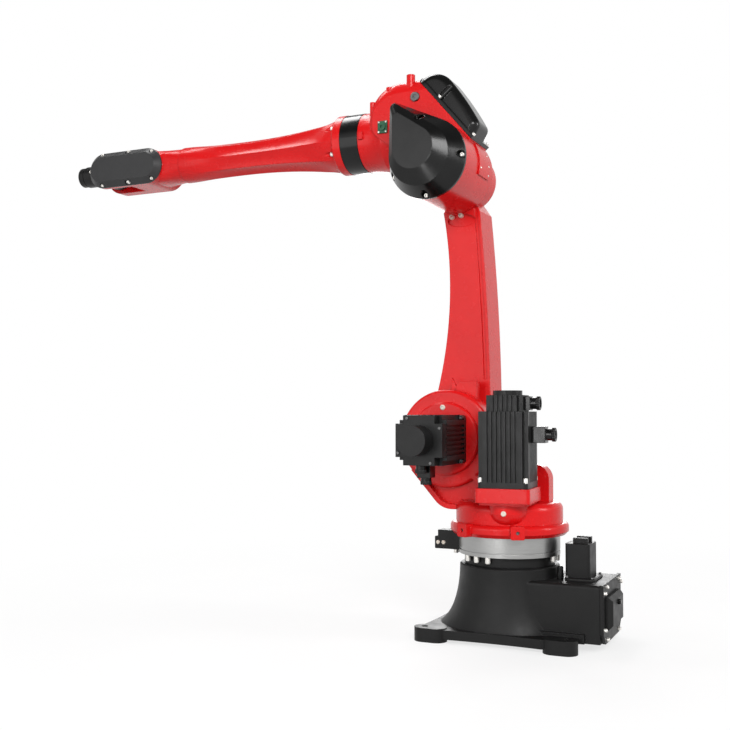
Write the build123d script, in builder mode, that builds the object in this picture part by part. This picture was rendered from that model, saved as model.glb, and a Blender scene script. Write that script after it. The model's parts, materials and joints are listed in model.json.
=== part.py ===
"""Six-axis industrial robot arm: the pieces of its base, turret, arm, elbow, forearm and wrist.

Millimetres. The origin is on the turning axis at the floor, +Z up, +X the way the arm reaches,
+Y the robot's left. The arm stands in its zero pose: upper arm upright, forearm level.
"""
import math
import os

from build123d import *

os.makedirs("parts", exist_ok=True)

# Joint axes
SHOULDER_X = 165.0
SHOULDER_Z = 524.0
UPPER_ARM_LENGTH = 741.0
FOREARM_RISE = 110.0
WRIST_X = 1334.0
FLANGE_REACH = 126.0
ELBOW_X = SHOULDER_X
ELBOW_Z = SHOULDER_Z + UPPER_ARM_LENGTH
FOREARM_Z = ELBOW_Z + FOREARM_RISE

# Fits
RUNNING_GAP = 0.5
SEAT_GAP = 0.2
OVERRUN = 5.0

# Base casting
FOOT_X = 187.5
FOOT_Y = 142.0
FOOT_RADIUS = 28.0
FOOT_LENGTH = 88.0
FOOT_HEIGHT = 36.0
ANCHOR_HOLE = 18.0
PLATE_UNDERSIDE = 10.0
PLATE_THICKNESS = 24.0
PLATE_SIDE = 163.0
PLATE_END = 203.0
PLATE_HOLLOW = 6.0
FLARE_RISE_SHARES = (0.0, 0.16, 0.37, 0.72, 1.0)
FLARE_LENGTH_SHARES = (1.42, 1.24, 1.115, 1.02, 1.0)
FLARE_WIDTH_SHARES = (1.17, 1.11, 1.065, 1.015, 1.0)
RIM_RADIUS = 132.0
RIM_Z = 195.0
RIM_CHAMFER = 3.0
NECK_RADIUS = 119.0
NECK_HEIGHT = 26.5

# Cable box at the rear of the base
BOX_REAR = 263.0
BOX_HALF_WIDTH = 108.0
BOX_FLOOR = 22.0
BOX_TOP = 166.0
BOX_ROUND = 8.0
SKIRT_SETBACK = 38.0
SKIRT_HEIGHT = 45.0
SKIRT_OVERHANG = 9.0
PANEL_THICKNESS = 9.0
PANEL_OVERLAP = 2.0
PANEL_CORNER = 26.0
HATCH_HALF_WIDTH = 74.0
HATCH_SHIFT = 16.0
HATCH_FLOOR = 56.0
HATCH_TOP = 136.0
HATCH_DEPTH = 18.0
HATCH_CORNER = 10.0
KNOB_RADIUS = 7.0
KNOB_LENGTH = 8.0
KNOB_RISE = 20.0
GLAND_X = 147.0
GLAND_Y = 38.0
GLAND_RADIUS = 9.0
GLAND_HEIGHT = 34.0

# Fixed stop post on the cable box
POST_FRONT = 160.0
POST_LENGTH = 64.0
POST_HALF_WIDTH = 42.0
POST_HEIGHT = 92.0
POST_ROUND = 8.0
POST_LUG_HEIGHT = 14.0
POST_LUG_THICKNESS = 12.0
POST_LUG_LENGTH = 38.0

# Reducer ring
RING_RADIUS = 134.0
RING_HEIGHT = 52.0
RING_GROOVE_DEPTH = 2.0
RING_GROOVE_HEIGHT = 3.0
RING_GROOVE_Z = 10.0

# Turret casting
RIM_FLANGE_RADIUS = 157.0
RIM_FLANGE_HEIGHT = 32.0
RIM_FLANGE_ROUND = 12.0
RIM_FLANGE_CHAMFER = 9.0
LUG_REACH = 170.0
LUG_WIDTH = 36.0
LUG_HEIGHT = 34.0
LUG_ROUND = 5.0
LUG_DEPTH = 40.0
LUG_BORE = 9.0
LUG_BORE_DEPTH = 22.0
LUG_ANGLES = (61.0, 114.0)
DRUM_RADIUS = 142.0
DRUM_HEIGHT = 54.0
DRUM_ROUND = 20.0
DISC_RADIUS = 133.0
DISC_FAR_Y = -18.0
DISC_NEAR_Y = 46.0
DISC_ROUND = 9.0
BOSS_RADIUS = 99.0
BOSS_HEIGHT = 14.0
BOSS_CHAMFER = 4.0
WEB_ANGLE = 41.0
WEB_FLOOR_RISE = 28.0
WEB_ROUND = 60.0
WEB_RIM = 13.0
WEB_POCKET_DEPTH = 22.0
RIB_REAR = 109.0
RIB_TOP_DROP = 66.0
RIB_ROUND = 40.0
RIB_FRONT = 20.0
RIB_NEAR_Y = 0.0
RIB_FAR_Y = -44.0
STOP_LUG_START = 18.0
STOP_LUG_LENGTH = 59.0
STOP_LUG_HEIGHT = 24.0
STOP_LUG_THICKNESS = 26.0
STOP_LUG_HOLLOW = 16.0
POINTER_LENGTH = 24.0
POINTER_HEIGHT = 34.0
POINTER_THICKNESS = 8.0

# Travelling stop block under the turret flange
STOP_BLOCK_OUTER = 206.0
STOP_BLOCK_SHELF = 197.0
STOP_BLOCK_NOSE = 162.0
STOP_BLOCK_HALF_WIDTH = 20.0
STOP_BLOCK_HEIGHT = 51.0
STOP_BLOCK_SHELF_HEIGHT = 17.0
STOP_BLOCK_ROUND = 3.0

# First motor, upright on the turret
MOTOR_REACH = 111.0
MOTOR_BEARING = 15.7
MOTOR_TURN = 3.5
PAD_WIDTH = 142.0
PAD_HEIGHT = 37.0
PAD_RISE = 6.0
PAD_ROUND = 8.0
BELL_RADIUS = 51.0
BELL_ROUND = 30.0
MOTOR_WIDTH = 130.0
MOTOR_ROUND = 10.0
MOTOR_FLANGE_HEIGHT = 16.0
MOTOR_BODY_LENGTH = 179.0
MOTOR_CORNER_STEP = 13.0
FIN_PITCH = 12.0
FIN_SLOT_WIDTH = 6.0
FIN_DEPTH = 5.0
FINS_PER_SIDE = 7
ENCODER_FINS_PER_SIDE = 5
ENCODER_WIDTH = 96.0
ENCODER_LENGTH = 42.0
ENCODER_CAP_RADIUS = 38.0
ENCODER_CAP_LENGTH = 12.0
PLUG_RADIUS = 17.0
PLUG_LENGTH = 23.0
PLUG_LIP = 2.0
PLUG_LIP_LENGTH = 8.0
PLUG_BORE_RADIUS = 11.0
PLUG_BORE_DEPTH = 14.0
POWER_BLOCK_WIDTH = 40.0
POWER_BLOCK_HEIGHT = 42.0
POWER_BLOCK_LENGTH = 36.0
POWER_BLOCK_DROP = 59.0
SIGNAL_BLOCK_WIDTH = 34.0
SIGNAL_BLOCK_LENGTH = 14.0
SIGNAL_BLOCK_HEIGHT = 36.0

# Second motor, level on the shoulder boss
SHOULDER_MOTOR_LENGTH = 134.0
END_CAP_WIDTH = 128.0
END_CAP_NOTCH = 21.0
END_CAP_LENGTH = 30.0
END_DISC_RADIUS = 39.0
END_DISC_LENGTH = 54.0
DROP_BLOCK_WIDTH = 36.0
DROP_BLOCK_HEIGHT = 32.0
DROP_BLOCK_SETBACK = 22.0
DROP_PLUG_RADIUS = 14.0
DROP_PLUG_LENGTH = 15.0
SHORT_PLUG_RADIUS = 13.0
SHORT_PLUG_LENGTH = 17.0

# Upper arm
ARM_NEAR_Y = -50.0
ARM_DEPTH = 106.0
ARM_FOOT_RADIUS = 118.0
ARM_HEAD_RADIUS = 84.0
ARM_FRONT_FOOT = 57.0
ARM_FRONT_WAIST = 20.0
ARM_FRONT_HEAD = 38.0
ARM_REAR_FOOT = 97.0
ARM_REAR_WAIST = 87.0
ARM_REAR_HEAD = 70.0
ARM_FOOT_SHARE = 0.18
ARM_WAIST_SHARE = 0.555
ARM_HEAD_SHARE = 0.86
ARM_HUB_RADIUS = 96.0
GROOVE_WIDTH = 9.0
GROOVE_DEPTH = 5.0
GROOVE_INSET = 9.0
GROOVE_START_SHARE = 0.22
GROOVE_END_SHARE = 0.88
OVAL_RECESS_LENGTH = 82.0
OVAL_RECESS_HEIGHT = 36.0
OVAL_RECESS_DEPTH = 9.0
OVAL_RECESS_DROP = 127.0
OVAL_RECESS_SHIFT = -15.0

# Elbow casting
HUB_RADIUS = 108.0
HUB_NEAR_Y = 170.0
HOUSING_NEAR_Y = 95.0
HOUSING_FAR_Y = -42.0
HOUSING_FRONT_REACH = 197.0
HOUSING_CREST_RISE = 138.0
HOUSING_SHOULDER_RISE = 90.0
HOUSING_RIDGE_REACH = 117.0
HOUSING_ROUND = 34.0
CHIN_TOP_RISE = 20.0
CHIN_SETBACK = 16.0
CHIN_DROP = 12.0
JAW_SETBACK = 47.0
JAW_DROP = 35.0
NECK_START = 277.0
NECK_TUBE_RADIUS = 84.0
NECK_FLARE_RADIUS = 94.0
NECK_FLARE_START = 340.0
NECK_FLARE_END = 404.0
BAND_START = 414.0
EYE_RADII = (12.0, 9.0, 8.0)
EYE_REACHES = (85.0, 150.0, 201.0)
EYE_RISES = (153.0, 127.0, 91.0)
EYE_FLOOR_RISE = 12.0
EYE_Y = 80.0

# Motor cover on the elbow: three drop outlines, each a round end and a small round corner
COVER_RADIUS = 108.0
COVER_CORNER_X = 92.0
COVER_CORNER_Z = 148.0
COVER_CORNER_RADIUS = 12.0
COVER_FLANGE = 8.0
TIER_RADIUS = 83.0
TIER_SHIFT_X = 6.0
TIER_SHIFT_Z = 2.0
TIER_CORNER_X = 73.0
TIER_CORNER_Z = 130.0
TIER_HEIGHT = 55.0
FACE_RADIUS = 56.0
FACE_SHIFT_X = 17.0
FACE_SHIFT_Z = 18.0
FACE_CORNER_X = 61.0
FACE_CORNER_Z = 101.0
FACE_HEIGHT = 70.0
SCALLOP_RADIUS = 10.0
SCALLOP_REACH = 100.0
SCALLOP_ANGLES = (87.0, 181.0, 270.0, 334.0)

# Domed rear cover on the elbow's sloping face
DOME_FOOT_BACK = 93.0
DOME_FOOT_RISE = 63.0
DOME_ANGLE = 50.0
DOME_LIP = 10.0
DOME_BACK_START = 24.0
DOME_BACK_HEIGHT = 42.0
DOME_MIDDLE_HEIGHT = 58.0
DOME_CREST_START = 180.0
DOME_CREST_HEIGHT = 62.0
DOME_TAIL_START = 8.0
DOME_NEAR_INSET = 17.0
DOME_FAR_INSET = 10.0
DOME_ROUND = 22.0
DOME_SCALLOP_START = 157.0
DOME_SCALLOP_RADIUS = 10.0
DOME_SCALLOP_INSET = 14.0

# Small pieces on the elbow
SOCKET_X = 328.0
SOCKET_RISE = 13.0
SOCKET_WIDTH = 28.0
SOCKET_HEIGHT = 34.0
SOCKET_DEPTH = 5.0
SOCKET_RING_RADIUS = 10.0
SOCKET_RING_DEPTH = 4.0
FITTING_X = 231.0
FITTING_RISE = 86.0
FITTING_RADIUS = 13.0
FITTING_BORE_RADIUS = 6.0
FITTING_DEPTH = 6.0
BRACKET_START = 150.0
BRACKET_SWEEP = 46.0
BRACKET_NEAR_Y = 72.0
BRACKET_WIDTH = 84.0
BRACKET_THICKNESS = 4.0
TAB_WIDTH = 20.0
TAB_LENGTH = 13.0
TAB_HEIGHT = 6.0
TAB_TAPER = 6.0

# Forearm
BAND_LENGTH = 56.0
BAND_PROUD = 1.0
COLLAR_LENGTH = 27.0
COLLAR_PROUD = 1.0
COLLAR_CHAMFER = 4.0
COLLAR_BOLTS = 6
POCKET_REACH = 74.0
POCKET_RADIUS = 9.0
POCKET_LENGTH = 52.0
POCKET_TIP_RADIUS = 0.8
TUBE_ROOT_RADIUS = 79.0
TUBE_STATIONS_SHARES = (0.0, 0.1, 0.22, 0.42, 0.66, 1.0)
TUBE_RADIUS_SHARES = (1.0, 0.89, 0.785, 0.68, 0.655, 0.70)
FLUTE_DEPTH_SHARES = (0.0, 0.085, 0.115, 0.125, 0.115, 0.0)
FLUTES = 8
TUBE_TIP_SETBACK = 288.0

# Wrist fork
FORK_CROTCH_SETBACK = 98.0
FORK_INSET = 3.0
FORK_RADIUS = 56.0
FORK_INNER = 36.0
FORK_NEAR_Y = 52.0
FORK_FAR_Y = -75.0
COVER_SPAN = 170.0
OVAL_THICKNESS = 22.0
OVAL_BEVEL = 17.0
OVAL_BEVEL_WIDTH = 18.0
OVAL_SCALLOP_RADIUS = 6.0
OVAL_SCALLOP_INSET = 7.0
OVAL_SCALLOP_FLOOR = 4.0
OVAL_REAR_BOLT_ANGLE = 28.0

# Wrist housing and tool flange
WRIST_RADIUS = 46.0
WRIST_HALF_WIDTH = 30.0
PIVOT_RADIUS = 38.0
NOSE_RADIUS = 34.0
NOSE_CHAMFER = 4.0
TOOL_RADIUS = 31.5
TOOL_THICKNESS = 18.0
TOOL_PILOT_RADIUS = 15.75
TOOL_PILOT_DEPTH = 6.0
TOOL_BOLT_RADIUS = 25.0
TOOL_BOLT_HOLE = 5.0
TOOL_BOLT_DEPTH = 12.0

# Heights and places that stack up
PLATE_TOP = PLATE_UNDERSIDE + PLATE_THICKNESS
RING_FLOOR = RIM_Z + NECK_HEIGHT + RUNNING_GAP
FLANGE_FLOOR = RING_FLOOR + RING_HEIGHT
DRUM_FLOOR = FLANGE_FLOOR + RIM_FLANGE_HEIGHT
DRUM_TOP = DRUM_FLOOR + DRUM_HEIGHT
PAD_TOP = DRUM_TOP + PAD_RISE + PAD_HEIGHT
MOTOR_FLANGE_TOP = PAD_TOP + MOTOR_FLANGE_HEIGHT
ENCODER_FLOOR = MOTOR_FLANGE_TOP + MOTOR_BODY_LENGTH
BOSS_FACE_Y = DISC_NEAR_Y + BOSS_HEIGHT
SHOULDER_BODY_Y = BOSS_FACE_Y + MOTOR_FLANGE_HEIGHT
END_CAP_Y = SHOULDER_BODY_Y + SHOULDER_MOTOR_LENGTH
MOTOR_X = -MOTOR_REACH * math.sin(math.radians(MOTOR_BEARING))
MOTOR_Y = MOTOR_REACH * math.cos(math.radians(MOTOR_BEARING))
BAND_END = BAND_START + BAND_LENGTH
COLLAR_END = BAND_END + COLLAR_LENGTH
BAND_RADIUS = NECK_TUBE_RADIUS + BAND_PROUD
COLLAR_RADIUS = BAND_RADIUS + COLLAR_PROUD
TUBE_TIP_X = WRIST_X - TUBE_TIP_SETBACK
FORK_CROTCH_X = WRIST_X - FORK_CROTCH_SETBACK
TOOL_FACE_X = WRIST_X + FLANGE_REACH
DOME_FOOT_X = ELBOW_X - DOME_FOOT_BACK
DOME_FOOT_Z = ELBOW_Z + DOME_FOOT_RISE
DOME_LENGTH = (FOREARM_RISE + HOUSING_CREST_RISE - DOME_FOOT_RISE) / math.sin(math.radians(DOME_ANGLE))
HOUSING_FRONT = ELBOW_X + HOUSING_FRONT_REACH
SKIRT_LENGTH = BOX_REAR - SKIRT_SETBACK


def side_plane(y):
    """An upright sketch plane facing the robot's right, seen with X across and Z up."""
    return Plane.XZ.offset(-y)


def cross_plane(x):
    """An upright sketch plane square to the forearm, with Y across and Z up, on its axis."""
    return Plane(origin=(x, 0, FOREARM_Z), x_dir=(0, 1, 0), z_dir=(1, 0, 0))


def motor_plane(z):
    """A level sketch plane on the first motor's axis, turned with the motor."""
    return Plane.XY.offset(z).move(Location((MOTOR_X, MOTOR_Y, 0), (0, 0, MOTOR_TURN)))


def motor_side_plane(reach, z):
    """An upright sketch plane facing backwards from the first motor, at a reach from its axis."""
    turn = math.radians(MOTOR_TURN)
    away = (-math.cos(turn), -math.sin(turn), 0)
    centre = (MOTOR_X + reach * away[0], MOTOR_Y + reach * away[1], z)
    return Plane(origin=centre, x_dir=(-away[1], away[0], 0), z_dir=away)


def shoulder_plane(y):
    """An upright sketch plane facing the robot's left, on the shoulder axis."""
    return Plane(origin=(SHOULDER_X, y, SHOULDER_Z), x_dir=(-1, 0, 0), z_dir=(0, 1, 0))


def slope_plane(y):
    """An upright sketch plane with X along the elbow's sloping rear face and Y away from it."""
    slope = math.radians(DOME_ANGLE)
    along = (math.cos(slope), 0, math.sin(slope))
    return Plane(origin=(DOME_FOOT_X, y, DOME_FOOT_Z), x_dir=along, z_dir=(0, -1, 0))


def plate_outline():
    """Sole plate between the feet, hollowed a little on its four sides."""
    with BuildSketch(Plane.XY.offset(PLATE_UNDERSIDE)) as outline:
        with BuildLine():
            inner_x = FOOT_X - FOOT_LENGTH + FOOT_RADIUS
            inner_y = FOOT_Y - FOOT_RADIUS
            side_waist = PLATE_SIDE - PLATE_HOLLOW
            end_waist = PLATE_END - PLATE_HOLLOW
            left = ThreePointArc((inner_x, PLATE_SIDE), (0, side_waist), (-inner_x, PLATE_SIDE))
            rear = ThreePointArc((-PLATE_END, inner_y), (-end_waist, 0), (-PLATE_END, -inner_y))
            right = ThreePointArc((-inner_x, -PLATE_SIDE), (0, -side_waist), (inner_x, -PLATE_SIDE))
            front = ThreePointArc((PLATE_END, -inner_y), (end_waist, 0), (PLATE_END, inner_y))
            Polyline(left @ 1, (-FOOT_X, FOOT_Y), rear @ 0)
            Polyline(rear @ 1, (-FOOT_X, -FOOT_Y), right @ 0)
            Polyline(right @ 1, (FOOT_X, -FOOT_Y), front @ 0)
            Polyline(front @ 1, (FOOT_X, FOOT_Y), left @ 0)
        make_face()
    return outline.sketch


def finned_square(width, fins):
    """Motor section with cooling slots in its sides and corners stepped back for the long screws."""
    Rectangle(width, width)
    with GridLocations(width, width, 2, 2):
        Rectangle(2 * MOTOR_CORNER_STEP, 2 * MOTOR_CORNER_STEP, mode=Mode.SUBTRACT)
    for turn in (0, 90):
        with Locations(Rotation(0, 0, turn)):
            with GridLocations(FIN_PITCH, width, fins, 2):
                Rectangle(FIN_SLOT_WIDTH, 2 * FIN_DEPTH, mode=Mode.SUBTRACT)


def drop_outline(y, shift, radius, corner):
    """Drop about the elbow axis: the hull of a round end and a small round corner."""
    with BuildSketch(side_plane(y)) as drop:
        with Locations((ELBOW_X + shift[0], ELBOW_Z + shift[1])):
            Circle(radius)
        with Locations((ELBOW_X + corner[0], ELBOW_Z + corner[1])):
            Circle(COVER_CORNER_RADIUS)
        make_hull()
    return drop.sketch


def housing_outline(y, drop):
    """Elbow housing seen from the side, its crest lowered by a drop."""
    crest_z = FOREARM_Z + HOUSING_CREST_RISE - drop
    crest_x = DOME_FOOT_X + (crest_z - DOME_FOOT_Z) / math.tan(math.radians(DOME_ANGLE))
    with BuildSketch(side_plane(y)) as outline:
        with BuildLine():
            ridge = Line((crest_x, crest_z), (ELBOW_X + HOUSING_RIDGE_REACH, crest_z))
            brow_end = (HOUSING_FRONT, FOREARM_Z + HOUSING_SHOULDER_RISE - drop)
            brow = TangentArc(ridge @ 1, brow_end, tangent=(1, 0))
            front = Line(brow @ 1, (HOUSING_FRONT, FOREARM_Z + CHIN_TOP_RISE))
            chin_end = (HOUSING_FRONT - CHIN_SETBACK, FOREARM_Z - CHIN_DROP)
            chin = TangentArc(front @ 1, chin_end, tangent=(0, -1))
            Polyline(
                chin @ 1,
                (HOUSING_FRONT - JAW_SETBACK, FOREARM_Z - JAW_DROP),
                (ELBOW_X + HUB_RADIUS, ELBOW_Z),
                (ELBOW_X, ELBOW_Z),
                (DOME_FOOT_X, DOME_FOOT_Z),
                ridge @ 0,
            )
        make_face()
    return outline.sketch


def fluted_ring(x, radius, flute):
    """Closed tube section: ridges on a circle, joined by arcs that dip by a share of the radius."""
    pitch = 2 * math.pi / FLUTES
    floor = radius * (1 - flute)
    with BuildSketch(cross_plane(x)) as ring:
        with BuildLine():
            for ridge in range(FLUTES):
                start = ridge * pitch
                middle = start + pitch / 2
                end = start + pitch
                ThreePointArc(
                    (radius * math.cos(start), radius * math.sin(start)),
                    (floor * math.cos(middle), floor * math.sin(middle)),
                    (radius * math.cos(end), radius * math.sin(end)),
                )
        make_face()
    return ring.sketch


# Base casting: flared column on a footed plate, with the cable box at the rear
with BuildPart() as base_casting:
    for height, length, width in zip(FLARE_RISE_SHARES, FLARE_LENGTH_SHARES, FLARE_WIDTH_SHARES):
        with BuildSketch(Plane.XY.offset(PLATE_TOP + height * (RIM_Z - PLATE_TOP))):
            Ellipse(length * RIM_RADIUS, width * RIM_RADIUS)
    loft()
    chamfer(base_casting.faces().sort_by(Axis.Z)[-1].edges(), RIM_CHAMFER)
    extrude(plate_outline(), amount=PLATE_THICKNESS)
    for end in (1, -1):
        with BuildSketch():
            with Locations((end * (FOOT_X + FOOT_RADIUS - FOOT_LENGTH / 2), FOOT_Y)):
                SlotOverall(FOOT_LENGTH, 2 * FOOT_RADIUS)
            mirror(about=Plane.XZ)
        extrude(amount=FOOT_HEIGHT)
    with BuildSketch(Plane.XY.offset(BOX_FLOOR)):
        with Locations((-BOX_REAR / 2, 0)):
            Rectangle(BOX_REAR, 2 * BOX_HALF_WIDTH)
    extrude(amount=BOX_TOP - BOX_FLOOR)
    fillet(base_casting.edges().filter_by(Axis.X).group_by(Axis.Z)[-1], BOX_ROUND)
    with BuildSketch(Plane.XY.offset(BOX_FLOOR)):
        with Locations((-SKIRT_LENGTH / 2, 0)):
            Rectangle(SKIRT_LENGTH, 2 * (BOX_HALF_WIDTH + SKIRT_OVERHANG))
    extrude(amount=SKIRT_HEIGHT - BOX_FLOOR)
    with Locations((0, 0, FOOT_HEIGHT)):
        with GridLocations(2 * FOOT_X, 2 * FOOT_Y, 2, 2):
            Hole(ANCHOR_HOLE / 2)
base_casting.part.label = "base_casting"
export_step(base_casting.part, "parts/base_casting.step")

# Neck that carries the reducer
with BuildPart() as base_neck:
    with BuildSketch(Plane.XY.offset(RIM_Z)):
        Circle(NECK_RADIUS)
    extrude(amount=NECK_HEIGHT)
base_neck.part.label = "base_neck"
export_step(base_neck.part, "parts/base_neck.step")

# Rear connection panel with its two lower corners cut
with BuildPart() as rear_panel:
    with BuildSketch(Plane.YZ.offset(-BOX_REAR)):
        with Locations((0, (BOX_FLOOR + BOX_TOP) / 2)):
            Rectangle(2 * BOX_HALF_WIDTH + 2 * PANEL_OVERLAP, BOX_TOP - BOX_FLOOR + 2 * PANEL_OVERLAP)
    extrude(amount=-PANEL_THICKNESS)
    chamfer(rear_panel.edges().filter_by(Axis.X).group_by(Axis.Z)[0], PANEL_CORNER)
rear_panel.part.label = "rear_panel"
export_step(rear_panel.part, "parts/rear_panel.step")

# Connector hatch that stands proud of the panel
HATCH_FACE = BOX_REAR + PANEL_THICKNESS + HATCH_DEPTH
with BuildPart() as connector_hatch:
    with BuildSketch(Plane.YZ.offset(-BOX_REAR - PANEL_THICKNESS)):
        with Locations((HATCH_SHIFT, (HATCH_FLOOR + HATCH_TOP) / 2)):
            Rectangle(2 * HATCH_HALF_WIDTH, HATCH_TOP - HATCH_FLOOR)
    extrude(amount=-HATCH_DEPTH)
    chamfer(connector_hatch.faces().sort_by(Axis.X)[0].edges(), HATCH_CORNER)
connector_hatch.part.label = "connector_hatch"
export_step(connector_hatch.part, "parts/connector_hatch.step")

# Round latch knob on the hatch
with BuildPart() as hatch_knob:
    with BuildSketch(Plane.YZ.offset(-HATCH_FACE)):
        with Locations((HATCH_SHIFT, (HATCH_FLOOR + HATCH_TOP) / 2 + KNOB_RISE)):
            Circle(KNOB_RADIUS)
    extrude(amount=-KNOB_LENGTH)
    chamfer(hatch_knob.faces().sort_by(Axis.X)[0].edges(), KNOB_RADIUS / 4)
hatch_knob.part.label = "hatch_knob"
export_step(hatch_knob.part, "parts/hatch_knob.step")

# Cable gland between the column and the stop post
with BuildPart() as cable_gland:
    with BuildSketch(Plane.XY.offset(BOX_TOP)):
        with Locations((-GLAND_X, GLAND_Y)):
            RegularPolygon(GLAND_RADIUS, 6)
    extrude(amount=GLAND_HEIGHT / 2)
    with BuildSketch(Plane.XY.offset(BOX_TOP + GLAND_HEIGHT / 2)):
        with Locations((-GLAND_X, GLAND_Y)):
            Circle(GLAND_RADIUS * math.cos(math.pi / 6))
    extrude(amount=GLAND_HEIGHT / 2)
    chamfer(cable_gland.faces().sort_by(Axis.Z)[-1].edges(), GLAND_RADIUS / 3)
cable_gland.part.label = "cable_gland"
export_step(cable_gland.part, "parts/cable_gland.step")

# Fixed stop post with two lugs on its top
with BuildPart() as stop_post:
    with BuildSketch(Plane.XY.offset(BOX_TOP)):
        with Locations((-POST_FRONT - POST_LENGTH / 2, 0)):
            Rectangle(POST_LENGTH, 2 * POST_HALF_WIDTH)
    extrude(amount=POST_HEIGHT)
    fillet(stop_post.edges().filter_by(Axis.Z), POST_ROUND)
    with BuildSketch(Plane.XY.offset(BOX_TOP + POST_HEIGHT)):
        with Locations((-POST_FRONT - POST_LENGTH + POST_LUG_LENGTH / 2 + POST_ROUND, 0)):
            with GridLocations(0, POST_HALF_WIDTH, 1, 2):
                Rectangle(POST_LUG_LENGTH, POST_LUG_THICKNESS)
    extrude(amount=POST_LUG_HEIGHT)
stop_post.part.label = "stop_post"
export_step(stop_post.part, "parts/stop_post.step")

# Bright reducer ring with one groove
with BuildPart() as reducer_ring:
    with BuildSketch(Plane.XY.offset(RING_FLOOR)):
        Circle(RING_RADIUS)
    extrude(amount=RING_HEIGHT)
    with BuildSketch(Plane.XY.offset(RING_FLOOR + RING_GROOVE_Z)):
        Circle(RING_RADIUS + OVERRUN)
        Circle(RING_RADIUS - RING_GROOVE_DEPTH, mode=Mode.SUBTRACT)
    extrude(amount=RING_GROOVE_HEIGHT, mode=Mode.SUBTRACT)
reducer_ring.part.label = "reducer_ring"
export_step(reducer_ring.part, "parts/reducer_ring.step")

# Shoulder disc with the round boss that carries the second motor
with BuildPart() as shoulder_disc:
    with BuildSketch(side_plane(DISC_NEAR_Y)):
        with Locations((SHOULDER_X, SHOULDER_Z)):
            Circle(DISC_RADIUS)
    extrude(amount=DISC_NEAR_Y - DISC_FAR_Y)
    fillet(shoulder_disc.faces().sort_by(Axis.Y)[-1].edges(), DISC_ROUND)
    with BuildSketch(side_plane(BOSS_FACE_Y)):
        with Locations((SHOULDER_X, SHOULDER_Z)):
            Circle(BOSS_RADIUS)
    extrude(amount=BOSS_HEIGHT)
    chamfer(shoulder_disc.faces().sort_by(Axis.Y)[-1].edges(), BOSS_CHAMFER)

# Web from the disc down to the drum, with a raised rim round a pocket
WEB_FLOOR = DRUM_FLOOR + WEB_FLOOR_RISE
WEB_TANGENT_X = SHOULDER_X + DISC_RADIUS * math.cos(math.radians(WEB_ANGLE))
WEB_TANGENT_Z = SHOULDER_Z - DISC_RADIUS * math.sin(math.radians(WEB_ANGLE))
WEB_TOE_X = WEB_TANGENT_X - (WEB_TANGENT_Z - WEB_FLOOR) * math.tan(math.radians(WEB_ANGLE))
with BuildPart() as web_plate:
    with BuildSketch(side_plane(DISC_NEAR_Y)) as web_outline:
        with BuildLine():
            FilletPolyline(
                (WEB_TANGENT_X, WEB_TANGENT_Z),
                (WEB_TOE_X, WEB_FLOOR),
                (RIB_FRONT, WEB_FLOOR),
                radius=WEB_ROUND,
            )
            Polyline(
                (RIB_FRONT, WEB_FLOOR),
                (RIB_FRONT, DRUM_TOP),
                (SHOULDER_X, SHOULDER_Z),
                (WEB_TANGENT_X, WEB_TANGENT_Z),
            )
        make_face()
    extrude(amount=DISC_NEAR_Y - DISC_FAR_Y)
    with BuildSketch(side_plane(DISC_NEAR_Y)):
        offset(web_outline.sketch_local, amount=-WEB_RIM, kind=Kind.INTERSECTION)
    extrude(amount=WEB_POCKET_DEPTH, mode=Mode.SUBTRACT)

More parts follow.
